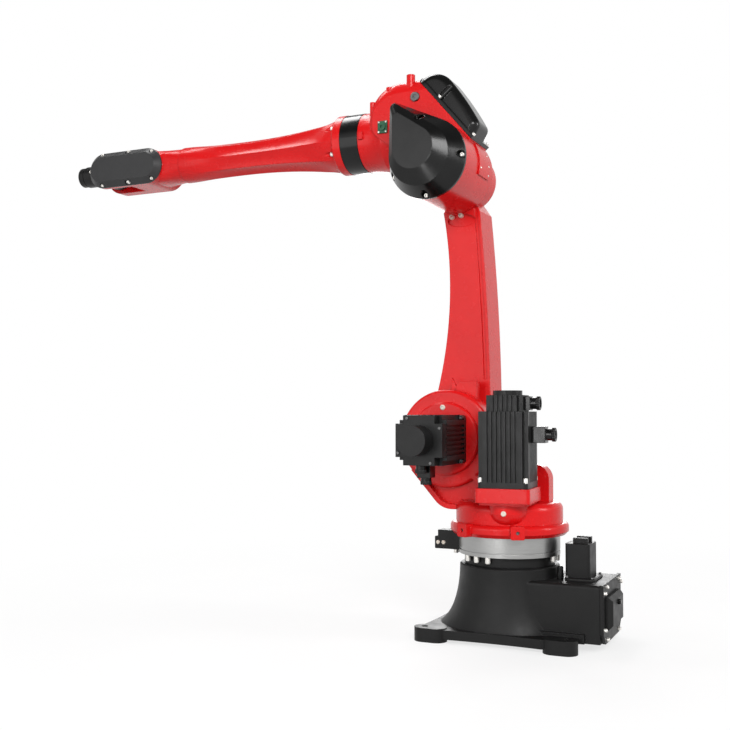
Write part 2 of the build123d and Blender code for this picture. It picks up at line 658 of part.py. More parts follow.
# Turret casting: flange with lugs, drum, web, shoulder disc, rear rib, motor pad and arm stop
with BuildPart() as turret_casting:
    with BuildSketch(Plane.XY.offset(FLANGE_FLOOR)):
        Circle(RIM_FLANGE_RADIUS)
    extrude(amount=RIM_FLANGE_HEIGHT)
    fillet(turret_casting.faces().sort_by(Axis.Z)[-1].edges(), RIM_FLANGE_ROUND)
    chamfer(turret_casting.faces().sort_by(Axis.Z)[0].edges(), RIM_FLANGE_CHAMFER)
    for angle in LUG_ANGLES:
        outward = (math.cos(math.radians(angle)), math.sin(math.radians(angle)), 0)
        face = (LUG_REACH * outward[0], LUG_REACH * outward[1], FLANGE_FLOOR + LUG_HEIGHT / 2)
        lug_plane = Plane(origin=face, x_dir=(-outward[1], outward[0], 0), z_dir=outward)
        with BuildSketch(lug_plane):
            RectangleRounded(LUG_WIDTH, LUG_HEIGHT, LUG_ROUND)
        extrude(amount=-LUG_DEPTH)
        with BuildSketch(lug_plane):
            Circle(LUG_BORE / 2)
        extrude(amount=-LUG_BORE_DEPTH, mode=Mode.SUBTRACT)
    with BuildSketch(Plane.XY.offset(DRUM_FLOOR)):
        Circle(DRUM_RADIUS)
    extrude(amount=DRUM_HEIGHT)
    fillet(turret_casting.faces().sort_by(Axis.Z)[-1].edges(), DRUM_ROUND)
    add(shoulder_disc.part)
    add(web_plate.part)
    with BuildSketch(side_plane(RIB_NEAR_Y)):
        rib_top = SHOULDER_Z - RIB_TOP_DROP
        with BuildLine():
            corner = JernArc((-RIB_REAR, rib_top - RIB_ROUND), (0, 1), RIB_ROUND, -90)
            Polyline(corner @ 1, (RIB_FRONT, rib_top), (RIB_FRONT, WEB_FLOOR))
            Polyline((RIB_FRONT, WEB_FLOOR), (-RIB_REAR, WEB_FLOOR), corner @ 0)
        make_face()
    extrude(amount=RIB_NEAR_Y - RIB_FAR_Y)
    with BuildSketch(motor_plane(DRUM_TOP)):
        RectangleRounded(PAD_WIDTH - 2 * PAD_ROUND, PAD_WIDTH - 2 * PAD_ROUND, PAD_ROUND)
    extrude(amount=PAD_RISE)
    with BuildSketch(motor_plane(PAD_TOP)):
        RectangleRounded(PAD_WIDTH, PAD_WIDTH, PAD_ROUND)
    extrude(amount=-PAD_HEIGHT)
    with BuildSketch(motor_plane(DRUM_FLOOR)):
        Circle(BELL_RADIUS - BELL_ROUND)
    with BuildSketch(motor_plane(DRUM_FLOOR + BELL_ROUND / 3)):
        Circle(BELL_RADIUS - BELL_ROUND / 3)
    with BuildSketch(motor_plane(DRUM_FLOOR + BELL_ROUND)):
        Circle(BELL_RADIUS)
    loft()
    with BuildSketch(motor_plane(DRUM_FLOOR + BELL_ROUND)):
        Circle(BELL_RADIUS)
    extrude(amount=DRUM_HEIGHT + PAD_RISE - BELL_ROUND)
    with BuildSketch(side_plane(DISC_FAR_Y + STOP_LUG_THICKNESS)):
        lug_top = SHOULDER_Z + DISC_RADIUS + STOP_LUG_HEIGHT
        lug_start = SHOULDER_X - STOP_LUG_START
        lug_end = lug_start - STOP_LUG_LENGTH
        with BuildLine():
            hollow = ThreePointArc(
                (lug_start, lug_top - STOP_LUG_HOLLOW),
                (lug_start - STOP_LUG_HOLLOW / 4, lug_top - STOP_LUG_HOLLOW / 3),
                (lug_start - STOP_LUG_HOLLOW, lug_top),
            )
            Polyline(hollow @ 1, (lug_end, lug_top), (lug_end, SHOULDER_Z))
            Polyline((lug_end, SHOULDER_Z), (lug_start, SHOULDER_Z), hollow @ 0)
        make_face()
    extrude(amount=STOP_LUG_THICKNESS)
    with BuildSketch(side_plane(DISC_FAR_Y + POINTER_THICKNESS)):
        with BuildLine():
            Polyline(
                (SHOULDER_X, SHOULDER_Z + DISC_RADIUS + POINTER_HEIGHT),
                (SHOULDER_X - POINTER_LENGTH, SHOULDER_Z + DISC_RADIUS - POINTER_HEIGHT / 2),
                (SHOULDER_X + POINTER_LENGTH / 6, SHOULDER_Z + DISC_RADIUS - POINTER_HEIGHT / 2),
                close=True,
            )
        make_face()
    extrude(amount=POINTER_THICKNESS)
turret_casting.part.label = "turret_casting"
export_step(turret_casting.part, "parts/turret_casting.step")

# Travelling stop block bolted under the front of the flange: a shelf and a nose that hangs from it
with BuildPart() as stop_block:
    with BuildSketch(side_plane(STOP_BLOCK_HALF_WIDTH)):
        with BuildLine():
            shelf_floor = FLANGE_FLOOR - STOP_BLOCK_SHELF_HEIGHT
            Polyline(
                (NECK_RADIUS, FLANGE_FLOOR),
                (STOP_BLOCK_SHELF, FLANGE_FLOOR),
                (STOP_BLOCK_SHELF, shelf_floor),
                (STOP_BLOCK_OUTER, shelf_floor),
                (STOP_BLOCK_OUTER, FLANGE_FLOOR - STOP_BLOCK_HEIGHT),
                (STOP_BLOCK_NOSE, FLANGE_FLOOR - STOP_BLOCK_HEIGHT),
                (NECK_RADIUS, FLANGE_FLOOR - RING_HEIGHT),
                close=True,
            )
        make_face()
    extrude(amount=2 * STOP_BLOCK_HALF_WIDTH)
    fillet(stop_block.edges().filter_by(Axis.Y).group_by(Axis.X)[-1], STOP_BLOCK_ROUND)
    with BuildSketch(Plane.XY.offset(FLANGE_FLOOR)):
        Circle(RING_RADIUS + SEAT_GAP)
    extrude(amount=-RING_HEIGHT - OVERRUN, mode=Mode.SUBTRACT)
stop_block.part.label = "stop_block"
export_step(stop_block.part, "parts/stop_block.step")

# First motor: mounting flange and finned body
with BuildPart() as turn_motor_body:
    with BuildSketch(motor_plane(PAD_TOP)):
        RectangleRounded(MOTOR_WIDTH, MOTOR_WIDTH, MOTOR_ROUND)
    extrude(amount=MOTOR_FLANGE_HEIGHT)
    with BuildSketch(motor_plane(MOTOR_FLANGE_TOP)):
        finned_square(MOTOR_WIDTH, FINS_PER_SIDE)
    extrude(amount=MOTOR_BODY_LENGTH)
turn_motor_body.part.label = "turn_motor_body"
export_step(turn_motor_body.part, "parts/turn_motor_body.step")

# First motor: encoder housing and its round cap
with BuildPart() as turn_motor_encoder:
    with BuildSketch(motor_plane(ENCODER_FLOOR)):
        finned_square(ENCODER_WIDTH, ENCODER_FINS_PER_SIDE)
    extrude(amount=ENCODER_LENGTH)
    with BuildSketch(motor_plane(ENCODER_FLOOR + ENCODER_LENGTH)):
        Circle(ENCODER_CAP_RADIUS)
    extrude(amount=ENCODER_CAP_LENGTH)
turn_motor_encoder.part.label = "turn_motor_encoder"
export_step(turn_motor_encoder.part, "parts/turn_motor_encoder.step")

# First motor: power and signal plugs, each a block and a round lipped socket, facing backwards
POWER_Z = ENCODER_FLOOR - POWER_BLOCK_DROP
SIGNAL_Z = ENCODER_FLOOR + ENCODER_LENGTH / 2
with BuildPart() as turn_motor_plugs:
    for face, height, block, size in (
        (MOTOR_WIDTH / 2, POWER_Z, POWER_BLOCK_LENGTH, (POWER_BLOCK_WIDTH, POWER_BLOCK_HEIGHT)),
        (ENCODER_WIDTH / 2, SIGNAL_Z, SIGNAL_BLOCK_LENGTH, (SIGNAL_BLOCK_WIDTH, SIGNAL_BLOCK_HEIGHT)),
    ):
        with BuildSketch(motor_side_plane(face, height)):
            Rectangle(size[0], size[1])
        extrude(amount=block)
        with BuildSketch(motor_side_plane(face + block, height)):
            Circle(PLUG_RADIUS - PLUG_LIP)
        extrude(amount=PLUG_LENGTH)
        with BuildSketch(motor_side_plane(face + block + PLUG_LENGTH, height)):
            Circle(PLUG_RADIUS)
        extrude(amount=-PLUG_LIP_LENGTH)
        with BuildSketch(motor_side_plane(face + block + PLUG_LENGTH, height)):
            Circle(PLUG_BORE_RADIUS)
        extrude(amount=-PLUG_BORE_DEPTH, mode=Mode.SUBTRACT)
turn_motor_plugs.part.label = "turn_motor_plugs"
export_step(turn_motor_plugs.part, "parts/turn_motor_plugs.step")

# Second motor: flange and finned body, level along Y
with BuildPart() as shoulder_motor_body:
    with BuildSketch(shoulder_plane(BOSS_FACE_Y)):
        RectangleRounded(MOTOR_WIDTH, MOTOR_WIDTH, MOTOR_ROUND)
    extrude(amount=MOTOR_FLANGE_HEIGHT)
    with BuildSketch(shoulder_plane(SHOULDER_BODY_Y)):
        finned_square(MOTOR_WIDTH, FINS_PER_SIDE)
    extrude(amount=SHOULDER_MOTOR_LENGTH)
shoulder_motor_body.part.label = "shoulder_motor_body"
export_step(shoulder_motor_body.part, "parts/shoulder_motor_body.step")

# Second motor: end cap with notched corners and a round end
with BuildPart() as shoulder_motor_cap:
    with BuildSketch(shoulder_plane(END_CAP_Y)):
        Rectangle(END_CAP_WIDTH, END_CAP_WIDTH - 2 * END_CAP_NOTCH)
        Rectangle(END_CAP_WIDTH - 2 * END_CAP_NOTCH, END_CAP_WIDTH)
    extrude(amount=END_CAP_LENGTH)
    with BuildSketch(shoulder_plane(END_CAP_Y + END_CAP_LENGTH)):
        Circle(END_DISC_RADIUS)
    extrude(amount=END_DISC_LENGTH)
shoulder_motor_cap.part.label = "shoulder_motor_cap"
export_step(shoulder_motor_cap.part, "parts/shoulder_motor_cap.step")

# Second motor: power plug under the body and short plug under the cap, both facing down
BODY_UNDERSIDE = SHOULDER_Z - MOTOR_WIDTH / 2
CAP_UNDERSIDE = SHOULDER_Z - END_CAP_WIDTH / 2
with BuildPart() as shoulder_motor_plugs:
    with BuildSketch(Plane.XY.offset(BODY_UNDERSIDE)):
        with Locations((SHOULDER_X, END_CAP_Y - DROP_BLOCK_SETBACK)):
            Rectangle(DROP_BLOCK_WIDTH, DROP_BLOCK_WIDTH)
    extrude(amount=-DROP_BLOCK_HEIGHT)
    with BuildSketch(Plane.XY.offset(BODY_UNDERSIDE - DROP_BLOCK_HEIGHT)):
        with Locations((SHOULDER_X, END_CAP_Y - DROP_BLOCK_SETBACK)):
            Circle(DROP_PLUG_RADIUS)
    extrude(amount=-DROP_PLUG_LENGTH)
    with BuildSketch(Plane.XY.offset(CAP_UNDERSIDE)):
        with Locations((SHOULDER_X, END_CAP_Y + END_CAP_LENGTH / 2)):
            Circle(SHORT_PLUG_RADIUS)
    extrude(amount=-SHORT_PLUG_LENGTH)
shoulder_motor_plugs.part.label = "shoulder_motor_plugs"
export_step(shoulder_motor_plugs.part, "parts/shoulder_motor_plugs.step")

# Upper arm: foot and head hubs joined by a waisted box, with the hub that meets the shoulder disc
with BuildPart() as upper_arm:
    foot_z = SHOULDER_Z + UPPER_ARM_LENGTH * ARM_FOOT_SHARE
    waist_z = SHOULDER_Z + UPPER_ARM_LENGTH * ARM_WAIST_SHARE
    head_z = SHOULDER_Z + UPPER_ARM_LENGTH * ARM_HEAD_SHARE
    with BuildSketch(side_plane(ARM_NEAR_Y)):
        with BuildLine():
            front = Spline(
                (SHOULDER_X + ARM_FRONT_FOOT, foot_z),
                (SHOULDER_X + ARM_FRONT_WAIST, waist_z),
                (ELBOW_X + ARM_FRONT_HEAD, head_z),
            )
            rear = Spline(
                (ELBOW_X - ARM_REAR_HEAD, head_z),
                (SHOULDER_X - ARM_REAR_WAIST, waist_z),
                (SHOULDER_X - ARM_REAR_FOOT, foot_z),
            )
            Polyline(front @ 1, (ELBOW_X, ELBOW_Z), rear @ 0)
            Polyline(
                rear @ 1,
                (SHOULDER_X - ARM_FOOT_RADIUS, SHOULDER_Z),
                (SHOULDER_X + ARM_FOOT_RADIUS, SHOULDER_Z),
                front @ 0,
            )
        make_face()
        with Locations((SHOULDER_X, SHOULDER_Z)):
            Circle(ARM_FOOT_RADIUS)
        with Locations((ELBOW_X, ELBOW_Z)):
            Circle(ARM_HEAD_RADIUS)
    extrude(amount=ARM_DEPTH)
    with BuildSketch(side_plane(ARM_NEAR_Y)):
        groove_start = SHOULDER_Z + UPPER_ARM_LENGTH * GROOVE_START_SHARE
        groove_end = SHOULDER_Z + UPPER_ARM_LENGTH * GROOVE_END_SHARE
        with BuildLine():
            near_side = Spline(
                (SHOULDER_X - ARM_REAR_FOOT + GROOVE_INSET, groove_start),
                (SHOULDER_X - ARM_REAR_WAIST + GROOVE_INSET, waist_z),
                (ELBOW_X - ARM_REAR_HEAD + GROOVE_INSET, groove_end),
            )
            far_side = Spline(
                (ELBOW_X - ARM_REAR_HEAD + GROOVE_INSET + GROOVE_WIDTH, groove_end),
                (SHOULDER_X - ARM_REAR_WAIST + GROOVE_INSET + GROOVE_WIDTH, waist_z),
                (SHOULDER_X - ARM_REAR_FOOT + GROOVE_INSET + GROOVE_WIDTH, groove_start),
            )
            Line(near_side @ 1, far_side @ 0)
            Line(far_side @ 1, near_side @ 0)
        make_face()
    extrude(amount=GROOVE_DEPTH, mode=Mode.SUBTRACT)
    with BuildSketch(side_plane(ARM_NEAR_Y)):
        with Locations((ELBOW_X + OVAL_RECESS_SHIFT, ELBOW_Z - OVAL_RECESS_DROP)):
            Ellipse(OVAL_RECESS_LENGTH / 2, OVAL_RECESS_HEIGHT / 2)
    extrude(amount=OVAL_RECESS_DEPTH, mode=Mode.SUBTRACT)
    with BuildSketch(side_plane(DISC_FAR_Y - RUNNING_GAP)):
        with Locations((SHOULDER_X, SHOULDER_Z)):
            Circle(ARM_HUB_RADIUS)
    extrude(amount=DISC_FAR_Y - RUNNING_GAP - ARM_NEAR_Y)
upper_arm.part.label = "upper_arm"
export_step(upper_arm.part, "parts/upper_arm.step")

# Elbow housing above the hub, with a crest that falls to the forearm neck and rounds over at both sides
with BuildPart() as elbow_housing:
    near_start = HOUSING_NEAR_Y - HOUSING_ROUND
    far_start = HOUSING_FAR_Y + HOUSING_ROUND
    extrude(housing_outline(near_start, 0), amount=near_start - far_start)
    for start, outward in ((near_start, 1), (far_start, -1)):
        quarter = []
        for turn in (0, math.pi / 4, math.pi / 2):
            reach = HOUSING_ROUND * math.sin(turn)
            quarter.append(housing_outline(start + outward * reach, HOUSING_ROUND * (1 - math.cos(turn))))
        loft(quarter)

# Elbow casting: hub on the elbow axis, housing, flared neck for the forearm and lifting eyes' bosses
with BuildPart() as elbow_casting:
    with BuildSketch(side_plane(HUB_NEAR_Y)):
        with Locations((ELBOW_X, ELBOW_Z)):
            Circle(HUB_RADIUS)
    extrude(amount=HUB_NEAR_Y - ARM_NEAR_Y - RUNNING_GAP)
    add(elbow_housing.part)
    with BuildSketch(Plane.XZ):
        with BuildLine():
            flare_arc = TangentArc(
                (NECK_FLARE_END, FOREARM_Z + NECK_TUBE_RADIUS),
                (NECK_FLARE_START, FOREARM_Z + NECK_FLARE_RADIUS),
                tangent=(-1, 0),
            )
            Polyline(
                flare_arc @ 1,
                (NECK_START, FOREARM_Z + NECK_TUBE_RADIUS),
                (NECK_START, FOREARM_Z),
                (BAND_START - RUNNING_GAP, FOREARM_Z),
                (BAND_START - RUNNING_GAP, FOREARM_Z + NECK_TUBE_RADIUS),
                flare_arc @ 0,
            )
        make_face()
    revolve(axis=Axis((0, 0, FOREARM_Z), (1, 0, 0)))
    for reach, radius, rise in zip(EYE_REACHES, EYE_RADII, EYE_RISES):
        with BuildSketch(Plane.XY.offset(FOREARM_Z + EYE_FLOOR_RISE)):
            with Locations((ELBOW_X + reach, EYE_Y)):
                Circle(radius)
        extrude(amount=rise - EYE_FLOOR_RISE)
elbow_casting.part.label = "elbow_casting"
export_step(elbow_casting.part, "parts/elbow_casting.step")

# Drop-shaped motor cover on the elbow hub: flange, sloping skirt and raised face, with bolt scallops
with BuildPart() as elbow_motor_cover:
    rim_corner = (COVER_CORNER_X, COVER_CORNER_Z)
    extrude(drop_outline(HUB_NEAR_Y + COVER_FLANGE, (0, 0), COVER_RADIUS, rim_corner), amount=COVER_FLANGE)
    tier_shift = (TIER_SHIFT_X, TIER_SHIFT_Z)
    tier_corner = (TIER_CORNER_X, TIER_CORNER_Z)
    skirt_foot = drop_outline(HUB_NEAR_Y + COVER_FLANGE, (0, 0), COVER_RADIUS, rim_corner)
    skirt_top = drop_outline(HUB_NEAR_Y + TIER_HEIGHT, tier_shift, TIER_RADIUS, tier_corner)
    loft([skirt_foot, skirt_top])
    face_shift = (FACE_SHIFT_X, FACE_SHIFT_Z)
    face_corner = (FACE_CORNER_X, FACE_CORNER_Z)
    face_top = drop_outline(HUB_NEAR_Y + FACE_HEIGHT, face_shift, FACE_RADIUS, face_corner)
    loft([skirt_top, face_top])
    with BuildSketch(side_plane(HUB_NEAR_Y + FACE_HEIGHT)):
        with Locations((ELBOW_X, ELBOW_Z)):
            for angle in SCALLOP_ANGLES:
                with PolarLocations(SCALLOP_REACH, 1, start_angle=angle):
                    Circle(SCALLOP_RADIUS)
    extrude(amount=FACE_HEIGHT - COVER_FLANGE, mode=Mode.SUBTRACT)
elbow_motor_cover.part.label = "elbow_motor_cover"
export_step(elbow_motor_cover.part, "parts/elbow_motor_cover.step")

# Domed rear cover on the elbow's sloping face: a bolted lip and a wedge-shaped dome
with BuildPart() as elbow_rear_cover:
    with BuildSketch(slope_plane(HOUSING_NEAR_Y - DOME_NEAR_INSET)):
        with BuildLine():
            back = ThreePointArc(
                (DOME_BACK_START, DOME_BACK_HEIGHT),
                (DOME_LENGTH / 2, DOME_MIDDLE_HEIGHT),
                (DOME_CREST_START, DOME_CREST_HEIGHT),
            )
            brow = TangentArc(back @ 1, (DOME_LENGTH, 0), tangent=back % 1)
            Polyline(brow @ 1, (DOME_TAIL_START, 0), back @ 0)
        make_face()
    extrude(amount=HOUSING_NEAR_Y - DOME_NEAR_INSET - HOUSING_FAR_Y - DOME_FAR_INSET)
    slope = math.radians(DOME_ANGLE)
    outward = Axis((0, 0, 0), (-math.sin(slope), 0, math.cos(slope)))
    seat_edges = elbow_rear_cover.faces().sort_by(outward)[0].edges()
    fillet([edge for edge in elbow_rear_cover.edges() if edge not in seat_edges], DOME_ROUND)
    seat = Plane(
        origin=(DOME_FOOT_X, (HOUSING_NEAR_Y + HOUSING_FAR_Y) / 2, DOME_FOOT_Z),
        x_dir=(math.cos(slope), 0, math.sin(slope)),
        z_dir=(-math.sin(slope), 0, math.cos(slope)),
    )
    with BuildSketch(seat) as lip:
        with Locations((DOME_LENGTH / 2, 0)):
            Rectangle(DOME_LENGTH, HOUSING_NEAR_Y - HOUSING_FAR_Y)
        fillet(lip.vertices().group_by(Axis.X)[-1], HOUSING_ROUND)
    extrude(amount=DOME_LIP)
    with BuildSketch(seat.offset(DOME_LIP)):
        with Locations((DOME_SCALLOP_START, 0)):
            with GridLocations(0, HOUSING_NEAR_Y - HOUSING_FAR_Y - 2 * DOME_SCALLOP_INSET, 1, 2):
                Circle(DOME_SCALLOP_RADIUS)
    extrude(amount=DOME_CREST_HEIGHT, mode=Mode.SUBTRACT)
elbow_rear_cover.part.label = "elbow_rear_cover"
export_step(elbow_rear_cover.part, "parts/elbow_rear_cover.step")

# Square socket on the elbow's near face
with BuildPart() as elbow_socket:
    with BuildSketch(side_plane(HOUSING_NEAR_Y)):
        with Locations((SOCKET_X, FOREARM_Z + SOCKET_RISE)):
            Rectangle(SOCKET_WIDTH, SOCKET_HEIGHT)
    extrude(amount=-SOCKET_DEPTH)
    with BuildSketch(side_plane(HOUSING_NEAR_Y + SOCKET_DEPTH)):
        with Locations((SOCKET_X, FOREARM_Z + SOCKET_RISE)):
            Circle(SOCKET_RING_RADIUS)
            Circle(SOCKET_RING_RADIUS / 2, mode=Mode.SUBTRACT)
    extrude(amount=-SOCKET_RING_DEPTH)
elbow_socket.part.label = "elbow_socket"
export_step(elbow_socket.part, "parts/elbow_socket.step")

# Round air fitting on the elbow's near face
with BuildPart() as air_fitting:
    with BuildSketch(side_plane(HOUSING_NEAR_Y)):
        with Locations((FITTING_X, FOREARM_Z + FITTING_RISE)):
            Circle(FITTING_RADIUS)
    extrude(amount=-FITTING_DEPTH)
    chamfer(air_fitting.faces().sort_by(Axis.Y)[-1].edges(), FITTING_DEPTH / 4)
    with BuildSketch(side_plane(HOUSING_NEAR_Y + FITTING_DEPTH)):
        with Locations((FITTING_X, FOREARM_Z + FITTING_RISE)):
            Circle(FITTING_BORE_RADIUS)
    extrude(amount=FITTING_DEPTH - FITTING_DEPTH / 4, mode=Mode.SUBTRACT)
air_fitting.part.label = "air_fitting"
export_step(air_fitting.part, "parts/air_fitting.step")

# Curved bracket plate on the rear of the elbow hub
with BuildPart() as bracket_plate:
    with BuildSketch(side_plane(BRACKET_NEAR_Y)):
        with BuildLine():
            centre = (ELBOW_X, ELBOW_Z)
            inner = CenterArc(centre, HUB_RADIUS + SEAT_GAP, BRACKET_START, BRACKET_SWEEP)
            outer = CenterArc(centre, HUB_RADIUS + BRACKET_THICKNESS, BRACKET_START, BRACKET_SWEEP)
            Line(inner @ 0, outer @ 0)
            Line(inner @ 1, outer @ 1)
        make_face()
    extrude(amount=BRACKET_WIDTH)
bracket_plate.part.label = "bracket_plate"
export_step(bracket_plate.part, "parts/bracket_plate.step")

# Zero-mark tab on the neck, beside the band
with BuildPart() as zero_tab:
    with BuildSketch(side_plane(NECK_TUBE_RADIUS + TAB_HEIGHT)):
        with Locations((BAND_START - TAB_LENGTH, FOREARM_Z)):
            Rectangle(TAB_LENGTH, TAB_WIDTH)
    extrude(amount=TAB_HEIGHT + TAB_LENGTH, taper=-TAB_TAPER)
    add(elbow_casting.part, mode=Mode.SUBTRACT)
zero_tab.part.label = "zero_tab"
export_step(zero_tab.part, "parts/zero_tab.step")

# Dark band between the elbow neck and the forearm
with BuildPart() as forearm_band:
    with BuildSketch(cross_plane(BAND_START)):
        Circle(BAND_RADIUS)
    extrude(amount=BAND_LENGTH)
forearm_band.part.label = "forearm_band"
export_step(forearm_band.part, "parts/forearm_band.step")

# Fluted forearm tube: sections that shrink to a waist while their flutes fade towards the wrist
with BuildPart() as fluted_tube:
    sections = []
    for station, width, flute in zip(TUBE_STATIONS_SHARES, TUBE_RADIUS_SHARES, FLUTE_DEPTH_SHARES):
        section_x = COLLAR_END + station * (TUBE_TIP_X - COLLAR_END)
        sections.append(fluted_ring(section_x, width * TUBE_ROOT_RADIUS, flute))
    loft(sections)

# Forearm: collar, fluted tube and wrist fork
with BuildPart() as forearm_tube:
    with BuildSketch(cross_plane(BAND_END)):
        Circle(COLLAR_RADIUS)
    extrude(amount=COLLAR_LENGTH)
    chamfer(forearm_tube.faces().sort_by(Axis.X)[-1].edges(), COLLAR_CHAMFER)
    add(fluted_tube.part)
    with BuildSketch(cross_plane(TUBE_TIP_X - OVERRUN)):
        Circle(TUBE_ROOT_RADIUS * TUBE_RADIUS_SHARES[-1] - FORK_INSET)
    with BuildSketch(cross_plane(WRIST_X - COVER_SPAN)):
        with Locations(((FORK_NEAR_Y + FORK_FAR_Y) / 2, 0)):
            root_width = FORK_NEAR_Y - FORK_FAR_Y - 2 * FORK_INSET
            RectangleRounded(root_width, 2 * (FORK_RADIUS - FORK_INSET), FORK_RADIUS / 2)
    loft()
    with BuildSketch(cross_plane(COLLAR_END)):
        with PolarLocations(POCKET_REACH, COLLAR_BOLTS, start_angle=180 / COLLAR_BOLTS):
            Circle(POCKET_RADIUS)
    pocket_taper = math.degrees(math.atan2(POCKET_RADIUS - POCKET_TIP_RADIUS, POCKET_LENGTH))
    extrude(amount=POCKET_LENGTH, taper=pocket_taper, mode=Mode.SUBTRACT)
    with BuildSketch(side_plane(FORK_NEAR_Y)):
        with Locations((WRIST_X - COVER_SPAN / 2, FOREARM_Z)):
            SlotCenterToCenter(COVER_SPAN, 2 * FORK_RADIUS)
    extrude(amount=FORK_NEAR_Y - FORK_FAR_Y)
    with BuildSketch(side_plane(FORK_INNER)):
        with Locations((FORK_CROTCH_X + FLANGE_REACH, FOREARM_Z)):
            Rectangle(2 * FLANGE_REACH, 2 * (FORK_RADIUS + OVERRUN))
    extrude(amount=2 * FORK_INNER, mode=Mode.SUBTRACT)
forearm_tube.part.label = "forearm_tube"
export_step(forearm_tube.part, "parts/forearm_tube.step")

# Oval cover with a wide bevel on the near side of the fork
with BuildPart() as wrist_cover:
    with BuildSketch(side_plane(FORK_NEAR_Y + OVAL_THICKNESS)):
        with Locations((WRIST_X - COVER_SPAN / 2, FOREARM_Z)):
            SlotCenterToCenter(COVER_SPAN, 2 * FORK_RADIUS)
    extrude(amount=OVAL_THICKNESS)
    near_face = wrist_cover.faces().sort_by(Axis.Y)[-1]
    chamfer(near_face.edges(), OVAL_BEVEL, OVAL_BEVEL_WIDTH, reference=near_face)
    bolt_rise = FORK_RADIUS - OVAL_SCALLOP_INSET
    bolt_drop = bolt_rise * math.cos(math.radians(OVAL_REAR_BOLT_ANGLE))
    rear_x = WRIST_X - COVER_SPAN - bolt_rise * math.sin(math.radians(OVAL_REAR_BOLT_ANGLE))
    middle_x = (WRIST_X + rear_x) / 2
    with BuildSketch(side_plane(FORK_NEAR_Y + OVAL_SCALLOP_FLOOR)):
        with Locations((WRIST_X, FOREARM_Z)):
            with GridLocations(0, 2 * bolt_rise, 1, 2):
                Circle(OVAL_SCALLOP_RADIUS)
        with Locations((middle_x, FOREARM_Z)):
            with GridLocations(0, 2 * bolt_rise, 1, 2):
                Circle(OVAL_SCALLOP_RADIUS)
        with Locations((rear_x, FOREARM_Z)):
            with GridLocations(0, 2 * bolt_drop, 1, 2):
                Circle(OVAL_SCALLOP_RADIUS)
        with Locations((WRIST_X + bolt_rise, FOREARM_Z)):
            Circle(OVAL_SCALLOP_RADIUS)
    extrude(amount=-OVAL_THICKNESS, mode=Mode.SUBTRACT)
wrist_cover.part.label = "wrist_cover"
export_step(wrist_cover.part, "parts/wrist_cover.step")

# Wrist housing between the fork arms, with its nose towards the tool
with BuildPart() as wrist_housing:
    with BuildSketch(side_plane(WRIST_HALF_WIDTH)):
        with Locations((WRIST_X, FOREARM_Z)):
            Circle(WRIST_RADIUS)
    extrude(amount=2 * WRIST_HALF_WIDTH)
    with BuildSketch(side_plane(FORK_INNER - RUNNING_GAP)):
        with Locations((WRIST_X, FOREARM_Z)):
            Circle(PIVOT_RADIUS)
    extrude(amount=2 * (FORK_INNER - RUNNING_GAP))
    with BuildSketch(cross_plane(WRIST_X)):
        Circle(NOSE_RADIUS)
    extrude(amount=FLANGE_REACH - TOOL_THICKNESS - RUNNING_GAP)
    chamfer(wrist_housing.faces().sort_by(Axis.X)[-1].edges(), NOSE_CHAMFER)
wrist_housing.part.label = "wrist_housing"
export_step(wrist_housing.part, "parts/wrist_housing.step")

# Tool flange with its pilot bore and bolt circle
with BuildPart() as tool_flange:
    with BuildSketch(cross_plane(TOOL_FACE_X)):
        Circle(TOOL_RADIUS)
    extrude(amount=-TOOL_THICKNESS)
    with BuildSketch(cross_plane(TOOL_FACE_X)):
        Circle(TOOL_PILOT_RADIUS)
    extrude(amount=-TOOL_PILOT_DEPTH, mode=Mode.SUBTRACT)
    with BuildSketch(cross_plane(TOOL_FACE_X)):
        with PolarLocations(TOOL_BOLT_RADIUS, 4):
            Circle(TOOL_BOLT_HOLE / 2)
    extrude(amount=-TOOL_BOLT_DEPTH, mode=Mode.SUBTRACT)
tool_flange.part.label = "tool_flange"
export_step(tool_flange.part, "parts/tool_flange.step")
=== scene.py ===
"""Finishes, fasteners and studio for a six-axis robot arm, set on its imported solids."""
import json
import math

import bpy
import numpy as np
from mathutils import Matrix, Vector
from mathutils.bvhtree import BVHTree


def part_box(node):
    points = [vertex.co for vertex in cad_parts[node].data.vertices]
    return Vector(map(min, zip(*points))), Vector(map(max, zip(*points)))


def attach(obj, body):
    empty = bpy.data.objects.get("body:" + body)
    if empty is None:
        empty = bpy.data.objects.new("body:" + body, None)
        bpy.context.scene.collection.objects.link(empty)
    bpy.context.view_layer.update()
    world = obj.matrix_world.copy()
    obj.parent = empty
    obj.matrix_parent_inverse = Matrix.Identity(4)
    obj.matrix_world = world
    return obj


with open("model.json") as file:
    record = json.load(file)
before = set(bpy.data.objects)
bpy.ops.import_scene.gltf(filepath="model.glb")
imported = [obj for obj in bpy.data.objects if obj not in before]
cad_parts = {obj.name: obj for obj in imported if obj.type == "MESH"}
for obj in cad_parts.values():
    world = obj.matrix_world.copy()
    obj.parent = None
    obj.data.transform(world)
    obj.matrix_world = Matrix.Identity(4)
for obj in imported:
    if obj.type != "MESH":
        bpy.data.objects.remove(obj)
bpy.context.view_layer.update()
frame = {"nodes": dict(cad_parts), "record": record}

MM = 0.001
WHITE = (1.0, 1.0, 1.0, 1.0)

# Camera of the photograph
IMAGE_PIXELS = 730
LENS_MM = 50.0
SENSOR_MM = 36.0
PIXELS_PER_SLOPE = IMAGE_PIXELS * LENS_MM / SENSOR_MM
CAMERA_SWING = math.radians(25.0)
HORIZON_PIXELS = 45.7
AXIS_COLUMN = 508.5
CAMERA_RANGE = 2.737
CAMERA_HEIGHT = 0.6


